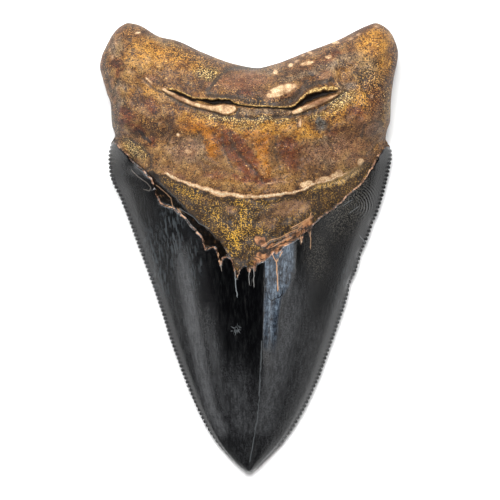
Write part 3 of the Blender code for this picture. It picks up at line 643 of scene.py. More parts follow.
def lingual_surface(x, y, share, shape):
    """The lingual face's height over the table, with the fields that its finish follows."""
    across, up = x / WIDTH, y / LENGTH
    seam = seam_height(up) * MM
    ridge = ridge_height(up) * MM
    crown = seam + (ridge - seam) * crown_round(x, up)
    body = LOBE_HEIGHT + (ridge - LOBE_HEIGHT) * bell(x, LUMP_REACH)
    distance = np.full(len(x), RIM_ROUND)
    near = up > 0.66
    distance[near] = line_distance(x[near], y[near], outline())
    root = seam + (body - seam) * bulge(distance, RIM_ROUND)
    z = crown + (root - crown) * ease(up, 0.68, 0.80)
    inside = ease(distance, 0.0, 2.5 * MM)
    side = 2 * np.minimum(share, 1 - share)

    # The line that the enamel ends at, and on the left the one that the gold ends at.
    waver = ENAMEL_WAVER * rough(x, y, 1.1 * MM, 3.5)
    enamel_edge = below_line(x, y, ENAMEL_EDGE) + waver
    right_part = [point for point in ENAMEL_EDGE if point[0] > GOLD_EDGE_LEFT[-1][0]]
    gold_edge = np.maximum(below_line(x, y, (*GOLD_EDGE_LEFT, *right_part)) + waver, enamel_edge)
    wobble = LINE_WOBBLE * rough(x, y, 1.5 * MM, 33.5)
    line_side, line_gap, line_tone, line_strength = fine_lines(x + 0.5 * wobble, y)
    enamel = ease(enamel_edge, -0.15 * MM, 0.2 * MM)
    bare = 1 - ease(gold_edge, -0.3 * MM, 0.2 * MM)
    step = enamel - 0.3 * ease(gold_edge, 0.0, 0.8 * MM) * (1 - enamel)
    z = z + shape.enamel_step * step * ease(side, 0.0, 0.12)

    # The root's lumps, and the ledge along the growth line.
    lumps = shape.root_lumps * rough(x, y, LUMP_GRAIN, 1.5)
    for place, height, wide, tall, rise in LUMPS:
        lumps += rise * MM * bell(x - place * WIDTH, wide * MM) * bell(y - height * LENGTH, tall * MM)
    z = z + lumps * inside * bare
    growth = below_line(x, y + wobble, GROWTH_LINE)
    thread = thread_width(across) * MM
    ends = 1 - ease(np.abs(across + 0.01), 0.31, 0.37)
    ledge = ease(-growth, -0.5 * MM, 0.1 * MM) - ease(-growth, 0.5 * MM, 9 * MM)
    z = z + LINE_STEP * bare * ends * ledge

    # The slit, its raised upper lip and the rolls below it.
    above = (up - slit_line(across)) * LENGTH + SLIT_WAVER * rough(x, y, 1.3 * MM, 71.5, 2)
    ragged = 1 + 0.35 * rough(x, y, 1.6 * MM, 9.5)
    fringe = fringe_width(across) * MM
    opening = np.maximum(slit_opening(across), 0.0) * MM * ragged
    depth = np.maximum(slit_depth(across), 0.0) * MM
    slit = (1 - ease(np.abs(above), 0.55 * opening, opening + 0.18 * MM)) * (opening > 0.02 * MM)
    z = z - depth * slit + 0.28 * depth * bell(above - opening - 0.5 * MM, 0.7 * MM)
    roll = np.maximum(roll_shape(x, y, LEFT_ROLL), roll_shape(x, y, RIGHT_ROLL))
    rounded = np.sqrt(1 - (1 - roll) ** 2)
    lumpy = 1 + 0.55 * rough(x, y, 1.5 * MM, 27.5, 2)
    z = z + ROLL_RISE * rounded * lumpy * (1 - 0.8 * slit)

    # The root's grain and creases, rougher on the left flank.
    grain = rough(x, y, 2.0 * MM, 12.5)
    fine = rough(x, y, 0.75 * MM, 17.5, 2)
    flank = 1 + 1.2 * bell(x + 0.44 * WIDTH, 6 * MM) * bell(y - 0.79 * LENGTH, 14 * MM)
    crease = creases(x, y)
    relief = (GRAIN_RISE * grain * flank + FINE_RISE * fine - CREASE_DEPTH * crease) * MM * (1 - 0.55 * roll)
    z = z + relief * bare * ease(distance, 0.0, 0.9 * MM)

    # The flat strip beside the ridge, and the hairlines.
    strip = np.clip((x - ridge_line(up) * MM) / (facet_width(up) * MM), 0.0, 1.0)
    z = z - FACET_DEPTH * np.sin(np.pi * strip) * ease(up, 0.22, 0.30) * (1 - ease(up, 0.48, 0.56))
    cut = 1 - ease(line_gap, 0.0, 0.25 * MM)
    z = z - HAIRLINE_DEPTH * cut * ease(line_tone, 1.0, 0.2) * enamel

    copper = ease(gold_edge, -3.2 * MM, -1.3 * MM) * ease(across, 0.0, 0.03) * (1 - ease(across, 0.19, 0.23))
    fields = {
        "enamel_edge": enamel_edge / MM,
        "gold_edge": gold_edge / MM,
        "growth": growth / MM,
        "thread": np.clip(1 - np.abs(growth) / np.maximum(thread, 0.01 * MM), -1.0, 1.0),
        # The slit's field also sets the painted shade in the slit.
        "slit": slit * ease(depth, 0.0, 1.2 * MM),
        "lip": bell(above - opening - fringe, fringe) * ease(depth, 0.3 * MM, 0.9 * MM),
        # The relief also sets the painted highlights on crests and the painted shade in pits.
        "relief": (relief / MM + 0.25 * lumps / MM) * bare,
        "roll": np.minimum(2.2 * roll, 1.0),
        "crease": crease,
        "line_side": line_side / MM,
        "line_gap": line_gap / MM,
        "line_tone": line_tone,
        "line_strength": line_strength,
        "copper": copper,
        "plate": ease(strip, 0.0, 0.02) * (1 - ease(strip, 0.78, 1.0)) * ease(up, 0.26, 0.33),
        "dull": worn_and_highlight_bands(x, y),
    }
    fields.update(stain_fields(x, y))
    return z, fields


def creases(x, y):
    """How deep each place lies in the root's creases, from 0 to 1."""
    deep = np.zeros(len(x))
    for share, half, line in CREASES:
        line = np.array(line) * (WIDTH, LENGTH)
        deep = np.maximum(deep, share * bell(line_distance(x, y, line), half * MM))
    return deep


def worn_and_highlight_bands(x, y):
    """The enamel's dull grey wear and painted highlights, in soft bands that fade in from their first point."""
    total = np.zeros(len(x))
    for strength, half, line in WEAR_AND_HIGHLIGHT_BANDS:
        line = np.array(line) * (WIDTH, LENGTH)
        start = ease(np.hypot(x - line[0, 0], y - line[0, 1]), 0.0, WEAR_AND_HIGHLIGHT_FADE)
        total = np.maximum(total, strength * start * bell(line_distance(x, y, line), half * MM))
    return total


def fine_lines(x, y):
    """How far each place is from the nearest fine line, signed and plain, and that line's tone and strength."""
    side, gap = np.full(len(x), FAR * MM), np.full(len(x), FAR * MM)
    tone, strength = np.zeros(len(x)), np.zeros(len(x))
    for hue, share, line in FINE_LINES:
        points = np.array(line) * (WIDTH, LENGTH)
        for start, end in zip(points[:-1], points[1:]):
            run = end - start
            along = ((x - start[0]) * run[0] + (y - start[1]) * run[1]) / (run @ run)
            kept = np.clip(along, 0.0, 1.0)
            right, rise = x - start[0] - kept * run[0], y - start[1] - kept * run[1]
            distance = np.hypot(right, rise)
            closer = distance < gap
            gap[closer], tone[closer], strength[closer] = distance[closer], hue, share
            side[closer] = (np.where(run[0] * rise > run[1] * right, 1.0, -1.0) * distance)[closer]
    return side, gap, tone, strength


def stain_fields(x, y):
    """How strongly each stain, and the painted shade of the pits, shows at each place, with ragged edges."""
    fields = {}
    drift = np.array([rough(x, y, 2.4 * MM, seed) for seed in (21.5, 27.5)])
    for name, patches in STAINS.items():
        shift = drift * (0.25 if name == "cream" else 0.9) * MM
        total = np.zeros(len(x))
        for place, height, wide, tall, turn, strength in patches:
            angle = math.radians(turn)
            right = x + shift[0] - place * WIDTH
            rise = y + shift[1] - height * LENGTH
            along = (right * math.cos(angle) + rise * math.sin(angle)) / (wide * MM)
            over = (rise * math.cos(angle) - right * math.sin(angle)) / (tall * MM)
            soft = (0.75, 1.15) if name in ("cream", "dark") else (0.2, 1.35)
            total = np.maximum(total, strength * (1 - ease(np.hypot(along, over), *soft)))
        fields[name] = total
    return fields


def labial_surface(x, y, share, shape):
    """The labial face's height over the table, worn flat where it touches, with its fields."""
    up = y / LENGTH
    seam = seam_height(up) * MM
    side = 1 - 2 * np.minimum(share, 1 - share)
    crown = seam * side ** 2.4
    hollow = LABIAL_HOLLOW * bell(x, 11 * MM) * ease(up, 0.66, 0.80)
    distance = np.full(len(x), RIM_ROUND)
    near = up > 0.64
    distance[near] = line_distance(x[near], y[near], outline())
    root = seam - (seam - hollow) * bulge(distance, RIM_ROUND)
    z = crown + (root - crown) * ease(up, 0.66, 0.78)
    inside = ease(distance, 0.0, 2.5 * MM) * ease(1 - side, 0.0, 0.15)
    waist = LABIAL_WAIST * ease(up, 0.46, 0.60) * (1 - ease(up, 0.76, 0.86))
    edge = below_line(x, y, LABIAL_EDGE) + 0.35 * MM * rough(x, y, 1.8 * MM, 5.5)
    enamel = ease(edge, -0.2 * MM, 0.25 * MM)
    z = z + (waist - 0.6 * shape.enamel_step * enamel * ease(up, 0.4, 0.6)) * inside
    lumps = 0.5 * shape.root_lumps * rough(x, y, LUMP_GRAIN, 7.5)
    grain = (0.16 * rough(x, y, 2.0 * MM, 41.5) + 0.07 * rough(x, y, 0.9 * MM, 43.5, 2)) * MM
    z = z + (lumps + grain) * (1 - enamel) * inside
    tip_lift = TIP_LIFT * (1 - ease(up, 0.0, 0.22))
    worn = ease(1 - side, 0.0, 0.3) * ease(up, 0.0, 0.1)
    z = np.maximum(z + tip_lift * (1 - side ** 2.4) - FLATTEN * worn, 0.0)
    none = np.zeros(len(x))
    fields = {name: none for name in (*FIELDS, *STAINS)}
    fields.update({name: none + FAR for name in ("growth", "line_side", "line_gap")})
    fields.update(
        enamel_edge=edge / MM,
        gold_edge=edge / MM,
        thread=none - 1.0,
        relief=(grain + 0.3 * lumps) / MM * (1 - enamel),
        gold=0.6 * ease(rough(x, y, 9 * MM, 47.5), 0.0, 0.5),
        grey=0.7 * ease(rough(x, y, 8 * MM, 49.5), 0.05, 0.5),
        rust=0.6 * ease(rough(x, y, 7 * MM, 51.5), 0.15, 0.5),
    )
    return z, fields


def serrate(x, y, z, share, row, shape):
    """Pushes the cutting edges in and out into small rounded teeth, fading towards the tip and inwards."""
    turn = row / NECK * shape.serrations
    wave = 2 * np.abs(np.sin(np.pi * turn)) ** 0.7 - 1
    left = share < 0.5
    reach = 0.004
    left_slope = -left_edge(row + reach) + left_edge(row - reach)
    edge_slope = np.where(left, left_slope, right_edge(row + reach) - right_edge(row - reach))
    lean = edge_slope * WIDTH / (2 * reach * LENGTH)
    outward = 1 / np.sqrt(1 + lean ** 2)
    gap = rim_gap(share, row)
    uneven = 1 + 0.5 * rough(turn, 50.0 * (share > 0.5) + 0 * turn, 2.3, 61.5)
    fade = ease(row, 0.01, 0.11) * (1 - ease(row, NECK - 0.03, NECK - 0.005))
    fade = fade * (1 - ease(gap, 0.0, 0.9 * MM))
    push = shape.serration_depth * 0.5 * wave * uneven * fade
    chipped = sum(deep * MM * bell((row - height) * LENGTH, half * MM) for height, half, deep in CHIPS)
    push -= chipped * (1 - left) * (1 - ease(gap, 0.0, 1.6 * MM))
    sign = np.where(left, -1.0, 1.0)
    return x + sign * push * outward, y - push * lean * outward, z + 0.25 * push * (gap > 0)


def shape_face(face, surface, shape):
    """Lifts a flat grid onto its side of the tooth and stores the fields of its finish."""
    flat = np.array([vert.co[:2] for vert in face.verts], dtype=float)
    share, row = flat.T
    x, y = face_places(share, row)
    z, fields = surface(x, y, share, shape)
    rim = np.array([vert.is_boundary for vert in face.verts])
    z[rim] = (seam_height(y / LENGTH) * MM)[rim]
    x, y, z = serrate(x, y, z, share, row, shape)
    for vert, place in zip(face.verts, zip(x, y + TIP, z)):
        vert.co = place
    for name, values in fields.items():
        layer = face.verts.layers.float.new(name)
        for vert, value in zip(face.verts, values):
            vert[layer] = value


def fit_in_box(tooth):
    """Keeps the fine mesh inside the frame's box, which its own corners may pass by a few hundredths."""
    places = np.array([vert.co for vert in tooth.verts])
    low, high = places.min(axis=0), places.max(axis=0)
    scale = [min(1.0, (HIGH[i] - LOW[i]) / (high[i] - low[i])) for i in range(3)]
    bmesh.ops.scale(tooth, verts=tooth.verts, vec=scale)
    middle = [(LOW[i] + HIGH[i] - scale[i] * (low[i] + high[i])) / 2 for i in range(2)]
    bmesh.ops.translate(tooth, verts=tooth.verts, vec=(*middle, -scale[2] * low[2]))


def tooth_mesh(shape):
    """The whole tooth as one closed mesh."""
    columns, rows = flat_grid_lines()
    root_line = np.array(ENAMEL_EDGE).T

    def root_side(share, row):
        across = left_edge(row) * (1 - share) + right_edge(row) * share
        drips = 0.085 * (1 - ease(np.abs(across - 0.05), 0.15, 0.22))
        below = np.interp(across, *root_line) - 0.008 - drips
        return (row > below) | (rim_gap(share, row) < 1.2 * MM) | (row < 0.004)

    lingual = lay_grid(between(columns), between(rows))
    refine(lingual, root_side)
    refine_crown_rim(lingual)
    shape_face(lingual, lingual_surface, shape)

    labial = lay_grid(columns, rows)
    refine(labial, lambda share, row: (row > 0.70) | (rim_gap(share, row) < 3.0 * MM))
    top_rim = LOBE_CORNER - 0.9 * MM / LENGTH
    refine(labial, lambda share, row: (rim_gap(share, row) < 0.9 * MM) | (row < 0.004) | (row > top_rim))
    refine_crown_rim(labial)
    rim_faces = [item for item in labial.faces if any(vert.is_boundary for vert in item.verts)]
    bmesh.ops.poke(labial, faces=rim_faces)
    shape_face(labial, labial_surface, shape)

    tooth = bmesh.new()
    for face in (lingual, labial):
        part = bpy.data.meshes.new("face")
        face.to_mesh(part)
        face.free()
        tooth.from_mesh(part)
        bpy.data.meshes.remove(part)
    bmesh.ops.remove_doubles(tooth, verts=tooth.verts, dist=0.002 * MM)
    fit_in_box(tooth)
    bmesh.ops.triangulate(tooth, faces=tooth.faces)
    bmesh.ops.recalc_face_normals(tooth, faces=tooth.faces)
    if not all(edge.is_manifold for edge in tooth.edges):
        raise RuntimeError("the tooth's mesh isn't closed")
    mesh = bpy.data.meshes.new("fossil_tooth")
    tooth.to_mesh(mesh)
    tooth.free()
    return mesh


# ---------------------------------------------------------------------------------------------------------
# The tooth's finish
# ---------------------------------------------------------------------------------------------------------


def linear(colour):
    """An sRGB hex value as the linear colour that Blender works in."""
    shares = [int(colour[i : i + 2], 16) / 255 for i in (1, 3, 5)]
    return tuple(part / 12.92 if part <= 0.04045 else ((part + 0.055) / 1.055) ** 2.4 for part in shares)


def add(tree, kind, links=(), out=0, stops=(), **settings):
    """Adds a node with its settings, its inputs set or linked and its ramp's stops, and gives one output."""
    node = tree.nodes.new("ShaderNode" + kind)
    for name, value in settings.items():
        setattr(node, name, value)
    for socket, value in dict(links).items():
        if isinstance(value, bpy.types.NodeSocket):
            tree.links.new(value, node.inputs[socket])
        else:
            node.inputs[socket].default_value = value
    if stops:
        ramp = node.color_ramp.elements
        while len(ramp) < len(stops):
            ramp.new(1.0)
        for stop, (place, colour) in zip(ramp, stops):
            stop.position = place
            stop.color = (*linear(colour), 1.0)
    return node.outputs[out] if node.outputs else None


def per_mm(size):
    """The scale of a noise whose lumps are this many millimetres across."""
    return 1 / (size * MM)


def fossil_finish(colours):
    """Phosphatised dentine and enamel: burial swapped the tooth's own mineral for harder apatite and stained it.

    The root is porous and dull, and took up the iron of the sediment. The bourlette is a granular skin with a
    golden glint, and the enamel is dense and near black, with the soft lustre of worn glaze, part of it painted
    in as grey highlights and a bluish reflection.
    """
    material = bpy.data.materials.new("phosphatised_dentine_and_enamel")
    material.use_nodes = True
    tree = material.node_tree
    tree.nodes.clear()
    place = add(tree, "TexCoord", out=3)
    field = {name: add(tree, "Attribute", out=2, attribute_name=name) for name in (*FIELDS, *STAINS)}

    def tone(colour):
        return (*(linear(colour) if isinstance(colour, str) else colour), 1.0)

    # The grains: lumps of 7 mm, 2.6 mm and 1.1 mm, and grit of 0.32 mm, which is as fine as shows. The streaks
    # are 0.7 mm across and about 6 mm long.
    broad = add(tree, "TexNoise", {"Vector": place, "Scale": per_mm(7.0), "Detail": 3.0, "Roughness": 0.6})
    patchy = add(tree, "TexNoise", {"Vector": place, "Scale": per_mm(2.6), "Detail": 5.0, "Roughness": 0.65})
    speck = add(tree, "TexNoise", {"Vector": place, "Scale": per_mm(1.1), "Detail": 4.0, "Roughness": 0.7})
    grit = add(tree, "TexNoise", {"Vector": place, "Scale": per_mm(0.32), "Detail": 1.0, "Roughness": 0.8})
    long = add(tree, "Mapping", {"Vector": place, "Scale": (1.0, 0.12, 1.0)})
    streak = add(tree, "TexNoise", {"Vector": long, "Scale": per_mm(0.7), "Detail": 4.0, "Roughness": 0.75})
    mottle = add(tree, "Mix", {0: 0.5, 2: patchy, 3: speck})
    coarse = add(tree, "Mix", {0: 0.5, 2: speck, 3: grit})

    # The root's browns and its stains, as light as each gets.
    root = add(tree, "ValToRGB", {0: broad}, stops=((0.38, "#84603A"), (0.5, "#987042"), (0.62, "#AA824C")))
    for name, colour, most in (
        ("grey", "#988876", 0.85), ("pink", "#A4785C", 0.85), ("gold", colours.gold, 0.95),
        ("amber", "#BE7A0E", 0.97), ("olive", colours.ochre, 0.85), ("rust", colours.rust, 0.92),
        ("slate", "#78828E", 0.95),
    ):
        part = add(tree, "Math", {0: field[name], 1: mottle}, operation="ADD")
        part = add(tree, "MapRange", {0: part, 1: 0.58, 2: 1.05, 3: 0.0, 4: most})
        root = add(tree, "Mix", {0: part, 6: root, 7: tone(colour)}, out=2, data_type="RGBA")

    # Its grain, in three sizes that darken it and show less where the skin is calm.
    calm = add(tree, "Math", {0: field["pink"], 1: field["amber"]}, operation="MAXIMUM")
    calm = add(tree, "Math", {0: calm, 1: field["calm"]}, operation="MAXIMUM")
    worn = add(tree, "MapRange", {0: calm, 1: 0.0, 2: 1.0, 3: 1.0, 4: 0.42})
    for size, stops in (
        (patchy, ((0.36, "#FFFFFF"), (0.5, "#F0EAE4"), (0.64, "#AE9E8C"))),
        (speck, ((0.36, "#FFFFFF"), (0.5, "#E8E0D6"), (0.64, "#8C7864"))),
        (grit, ((0.38, "#FFFFFF"), (0.5, "#DCD0C2"), (0.6, "#705C48"))),
    ):
        grain = add(tree, "ValToRGB", {0: size}, stops=stops)
        root = add(tree, "Mix", {0: worn, 6: root, 7: grain}, out=2, data_type="RGBA", blend_type="MULTIPLY")
    veil = add(tree, "Math", {0: calm, 1: 0.85}, operation="MULTIPLY")
    clay = tone("#DED8CE")
    root = add(tree, "Mix", {0: veil, 6: root, 7: clay}, out=2, data_type="RGBA", blend_type="MULTIPLY")

    # Painted highlights on its crests, and painted shade in its pits and creases.
    deep = add(tree, "Math", {0: field["crease"], 1: speck}, operation="ADD")
    for source, low, high, most, colour in (
        # The pale crest colour is a painted highlight, and the two dark browns are painted shade.
        (field["relief"], 0.05, 0.3, 0.28, "#CCA468"), (field["relief"], -0.04, -0.3, 0.75, "#3A281B"),
        (deep, 0.62, 1.2, 0.8, "#382C22"),
    ):
        part = add(tree, "MapRange", {0: source, 1: low, 2: high, 3: 0.0, 4: most})
        root = add(tree, "Mix", {0: part, 6: root, 7: tone(colour)}, out=2, data_type="RGBA")

    # Black specks, more of them where soot gathered, and gold and straw ones, more where soot and ochre lie.
    for name, push, low, high, most, colour in (
        ("soot", 0.12, 0.58, 0.64, 0.95, "#150D08"), ("soot", -0.10, 0.32, 0.25, 0.8, "#DCA552"),
        ("olive", -0.18, 0.28, 0.22, 0.8, "#E6CB8E"),
    ):
        part = add(tree, "Math", {0: field[name], 1: push, 2: grit}, operation="MULTIPLY_ADD")
        part = add(tree, "MapRange", {0: part, 1: low, 2: high, 3: 0.0, 4: most})
        root = add(tree, "Mix", {0: part, 6: root, 7: tone(colour)}, out=2, data_type="RGBA")

    # The golden fringe over the slit, the pale patches and flecks, and the rolls below the slit.
    fringe = add(tree, "Math", {0: coarse, 1: 1.5, 2: field["lip"]}, operation="MULTIPLY_ADD")
    fringe = add(tree, "MapRange", {0: fringe, 1: 1.2, 2: 1.45})
    gilt = add(tree, "ValToRGB", {0: grit}, stops=((0.38, "#EACD8E"), (0.5, "#B48A48"), (0.62, "#3E2E1A")))
    root = add(tree, "Mix", {0: fringe, 6: root, 7: gilt}, out=2, data_type="RGBA")
    pale = add(tree, "Math", {0: field["cream"], 1: field["roll"]}, operation="MAXIMUM")
    fleck = add(tree, "Math", {0: pale, 1: speck}, operation="ADD")
    fleck = add(tree, "MapRange", {0: fleck, 1: 0.7, 2: 1.25})
    # The pale patches turn tan towards their edges. On the oval by the slit that is its own colour, and on the
    # rounded rolls it is painted shade.
    tan_edge_and_shade = add(tree, "MapRange", {0: pale, 1: 0.3, 2: 1.0, 3: 0.16, 4: 0.0})
    tan_edge_and_shade = add(tree, "Math", {0: tan_edge_and_shade, 1: mottle}, operation="ADD")
    chalk = add(tree, "ValToRGB", {0: tan_edge_and_shade}, stops=((0.38, "#F2DAB8"), (0.5, "#D2B08A"), (0.62, "#8A6646")))
    tan = add(tree, "Math", {0: field["umber"], 1: -0.75, 2: pale}, operation="MULTIPLY_ADD")
    tan = add(tree, "MapRange", {0: tan, 1: 0.3, 2: 0.85})
    chalk = add(tree, "Mix", {0: tan, 6: tone("#8E6648"), 7: chalk}, out=2, data_type="RGBA")
    dust = add(tree, "ValToRGB", {0: grit}, stops=((0.44, "#FFFFFF"), (0.62, "#A8947E")))
    chalk = add(tree, "Mix", {0: 0.6, 6: chalk, 7: dust}, out=2, data_type="RGBA", blend_type="MULTIPLY")
    root = add(tree, "Mix", {0: fleck, 6: root, 7: chalk}, out=2, data_type="RGBA")

    # The bourlette, below the growth line: golden grit over brown and black, combed into streaks along the
    # tooth.
    band = add(tree, "ValToRGB", {0: patchy}, stops=((0.38, "#523817"), (0.5, "#3A260E"), (0.62, "#201508")))
    for name, colour, most in (("olive", "#CCAC82", 0.9), ("smooth", "#7E5C44", 0.8)):
        flat = add(tree, "Math", {0: field[name], 1: patchy}, operation="ADD")
        flat = add(tree, "MapRange", {0: flat, 1: 0.6, 2: 1.3, 3: 0.0, 4: most})
        band = add(tree, "Mix", {0: flat, 6: band, 7: tone(colour)}, out=2, data_type="RGBA")
    combed = add(tree, "Math", {0: streak, 1: 0.6, 2: grit}, operation="MULTIPLY_ADD")
    brass, gold = tone("#A07A38"), tone("#D6A636")
    nugget = add(tree, "Mix", {0: field["glint"], 6: brass, 7: gold}, out=2, data_type="RGBA")
    for source, push, low, high, most, colour in (
        (flat, 0.10, 0.79, 0.72, 0.9, tone("#160D05")), (field["glint"], 0.11, 0.9, 0.99, 0.95, nugget),
    ):
        part = add(tree, "Math", {0: source, 1: push, 2: combed}, operation="MULTIPLY_ADD")
        part = add(tree, "MapRange", {0: part, 1: low, 2: high, 3: 0.0, 4: most})
        band = add(tree, "Mix", {0: part, 6: band, 7: colour}, out=2, data_type="RGBA")
    lower = add(tree, "Math", {0: field["growth"], 1: patchy}, operation="ADD")
    lower = add(tree, "MapRange", {0: lower, 1: 0.3, 2: 1.2})
    upper = add(tree, "Mix", {0: lower, 6: root, 7: band}, out=2, data_type="RGBA")

    # The growth line, cream and broken, with a painted shadow under its ledge.
    ledge_shadow = add(tree, "MapRange", {0: field["growth"], 1: 0.25, 2: 0.5})
    past = add(tree, "MapRange", {0: field["growth"], 1: 1.1, 2: 0.7, 3: 0.0, 4: 0.55})
    ledge_shadow = add(tree, "Math", {0: ledge_shadow, 1: past}, operation="MULTIPLY")
    upper = add(tree, "Mix", {0: ledge_shadow, 6: upper, 7: tone("#2A1B0E")}, out=2, data_type="RGBA")
    line = add(tree, "Math", {0: mottle, 1: -3.6, 2: field["thread"]}, operation="MULTIPLY_ADD")
    line = add(tree, "MapRange", {0: line, 1: -2.08, 2: -1.72})
    core = add(tree, "Math", {0: field["thread"], 1: -0.22, 2: mottle}, operation="MULTIPLY_ADD")
    thread = add(tree, "ValToRGB", {0: core}, stops=((0.29, "#FFF0D4"), (0.41, "#DCAE84"), (0.52, "#7E5238")))
    thread = add(tree, "Mix", {0: 0.25, 6: thread, 7: tone(colours.cream)}, out=2, data_type="RGBA")
    thread = add(tree, "Mix", {0: 0.7, 6: thread, 7: dust}, out=2, data_type="RGBA", blend_type="MULTIPLY")
    upper = add(tree, "Mix", {0: line, 6: upper, 7: thread}, out=2, data_type="RGBA")

    # The copper margin along the enamel and its four dark-ringed lobes, and on the left a black band between the
    # gold
    # and the enamel: dark dentine, with painted shade at the foot of the enamel's edge.
    ruddy = add(
        tree, "ValToRGB", {0: mottle},
        stops=((0.42, "#B88258"), (0.48, "#845638"), (0.52, "#1C110A"), (0.58, "#120B06"), (0.64, "#6E4C36")),
    )
    ragged = add(tree, "Math", {0: field["copper"], 1: patchy}, operation="ADD")
    ragged = add(tree, "MapRange", {0: ragged, 1: 0.85, 2: 1.15, 3: 0.0, 4: 0.9})
    upper = add(tree, "Mix", {0: ragged, 6: upper, 7: ruddy}, out=2, data_type="RGBA")
    lobe = add(tree, "Math", {0: speck, 1: 0.35, 2: field["lobe"]}, operation="MULTIPLY_ADD")
    ring = add(tree, "MapRange", {0: lobe, 1: 0.28, 2: 0.42, 3: 0.0, 4: 0.9})
    upper = add(tree, "Mix", {0: ring, 6: upper, 7: tone("#26180E")}, out=2, data_type="RGBA")
    bulb = add(tree, "MapRange", {0: lobe, 1: 0.6, 2: 0.8, 3: 0.0, 4: 0.9})
    copper = add(tree, "ValToRGB", {0: mottle}, stops=((0.42, "#BE8A60"), (0.5, "#8E5E3E"), (0.57, "#4A2E1C")))
    upper = add(tree, "Mix", {0: bulb, 6: upper, 7: copper}, out=2, data_type="RGBA")
    # Near black: dark dentine, and painted shade at the foot of the enamel's edge.
    shade = add(tree, "ValToRGB", {0: speck}, stops=((0.5, "#070504"), (0.62, "#1E1610"), (0.74, "#6A5038")))
    black_band_and_shade = add(tree, "Math", {0: field["gold_edge"], 1: speck}, operation="ADD")
    black_band_and_shade = add(tree, "MapRange", {0: black_band_and_shade, 1: 0.35, 2: 0.65})
    upper = add(tree, "Mix", {0: black_band_and_shade, 6: upper, 7: shade}, out=2, data_type="RGBA")

    # Painted shade in the slit and in the deepest pits, and a thin stain over the whole.
    # Painted shade, near black, where the slit and the pits lie.
    slit_and_pit_shade = add(tree, "Math", {0: field["dark"], 1: field["slit"]}, operation="MAXIMUM")
    slit_and_pit_shade = add(tree, "MapRange", {0: slit_and_pit_shade, 1: 0.35, 2: 0.8, 3: 0.0, 4: 0.93})
    upper = add(tree, "Mix", {0: slit_and_pit_shade, 6: upper, 7: tone("#140C07")}, out=2, data_type="RGBA")
    stain = tone(colours.stain)
    upper = add(tree, "Mix", {0: 1.0, 6: upper, 7: stain}, out=2, data_type="RGBA", blend_type="MULTIPLY")

    # The enamel: fine streaks along the tooth and dull grey wear with its soft highlights painted in, silver
    # hairs 0.5 mm across and 10 mm long, a pepper of grit, and a painted bluish reflection on the flat strip
    # beside the ridge.
    glaze = add(tree, "ValToRGB", {0: streak}, stops=((0.48, "#020203"), (0.6, "#090A0B"), (0.78, "#1E1D1C")))
    wear_and_highlight_mix = add(tree, "MapRange", {0: streak, 1: 0.38, 2: 0.6, 3: 0.4, 4: 1.15})
    pebbles = add(tree, "MapRange", {0: grit, 1: 0.38, 2: 0.6, 3: 1.35, 4: 0.5})
    wear_and_highlight_mix = add(tree, "Math", {0: wear_and_highlight_mix, 1: pebbles}, operation="MULTIPLY")
    wear_and_highlight_mix = add(tree, "Math", {0: wear_and_highlight_mix, 1: field["dull"]}, operation="MULTIPLY", use_clamp=True)
    # The grey of the wear is partly painted highlight.
    glaze = add(tree, "Mix", {0: wear_and_highlight_mix, 6: glaze, 7: tone("#434446")}, out=2, data_type="RGBA")
    longer = add(tree, "Mapping", {"Vector": place, "Scale": (1.0, 0.05, 1.0)})
    hair = add(tree, "TexNoise", {"Vector": longer, "Scale": per_mm(0.5), "Detail": 1.0, "Roughness": 0.6})
    for name, pattern, low, high, most, colour in (
        ("silver", hair, 0.46, 0.64, 1.0, "#4E5458"), ("grainy", grit, 0.5, 0.62, 0.8, "#5E5A52"),
    ):
        part = add(tree, "MapRange", {0: pattern, 1: low, 2: high, 3: 0.0, 4: most})
        part = add(tree, "Math", {0: part, 1: field[name]}, operation="MULTIPLY")
        glaze = add(tree, "Mix", {0: part, 6: glaze, 7: tone(colour)}, out=2, data_type="RGBA")
    # Painted reflection: the bluish grey of the flat strip beside the ridge stands in for the mirror of a
    # softbox, over the lamp's own highlight there.
    painted_plate_reflection = add(tree, "Mix", {0: 0.5, 2: streak, 3: mottle})
    painted_plate_reflection = add(tree, "ValToRGB", {0: painted_plate_reflection}, stops=((0.42, "#5E6A76"), (0.5, "#323A44"), (0.57, "#101318")))
    glaze = add(tree, "Mix", {0: field["plate"], 6: glaze, 7: painted_plate_reflection}, out=2, data_type="RGBA")

    # The enamel's chipped rim and the fine lines: dark, grey or copper.
    crust = add(tree, "ValToRGB", {0: patchy}, stops=((0.38, "#C09A78"), (0.48, "#84604A"), (0.58, "#2E2019")))
    body = add(tree, "MapRange", {0: field["enamel_edge"], 1: -0.1, 2: 0.1})
    skin = add(tree, "Mix", {0: body, 6: upper, 7: glaze}, out=2, data_type="RGBA")
    rim = add(tree, "Math", {0: field["enamel_edge"]}, operation="ABSOLUTE")
    rim = add(tree, "MapRange", {0: rim, 1: 0.24, 2: 0.1})
    bare = add(tree, "MapRange", {0: speck, 1: 0.54, 2: 0.5})
    rim = add(tree, "Math", {0: rim, 1: bare}, operation="MULTIPLY")
    skin = add(tree, "Mix", {0: rim, 6: skin, 7: crust}, out=2, data_type="RGBA")
    thin = add(tree, "Math", {0: field["line_side"]}, operation="ABSOLUTE")
    thin = add(tree, "MapRange", {0: thin, 1: 0.16, 2: 0.05})
    near = add(tree, "MapRange", {0: field["line_gap"], 1: 0.5, 2: 0.3})
    thin = add(tree, "Math", {0: thin, 1: near}, operation="MULTIPLY")
    thin = add(tree, "Math", {0: thin, 1: field["line_strength"]}, operation="MULTIPLY")
    wire = add(
        tree, "ValToRGB", {0: field["line_tone"]},
        stops=((0.0, "#050505"), (0.4, "#74797C"), (0.6, "#8A7866"), (1.0, "#B58860")),
    )
    skin = add(tree, "Mix", {0: thin, 6: skin, 7: wire}, out=2, data_type="RGBA")

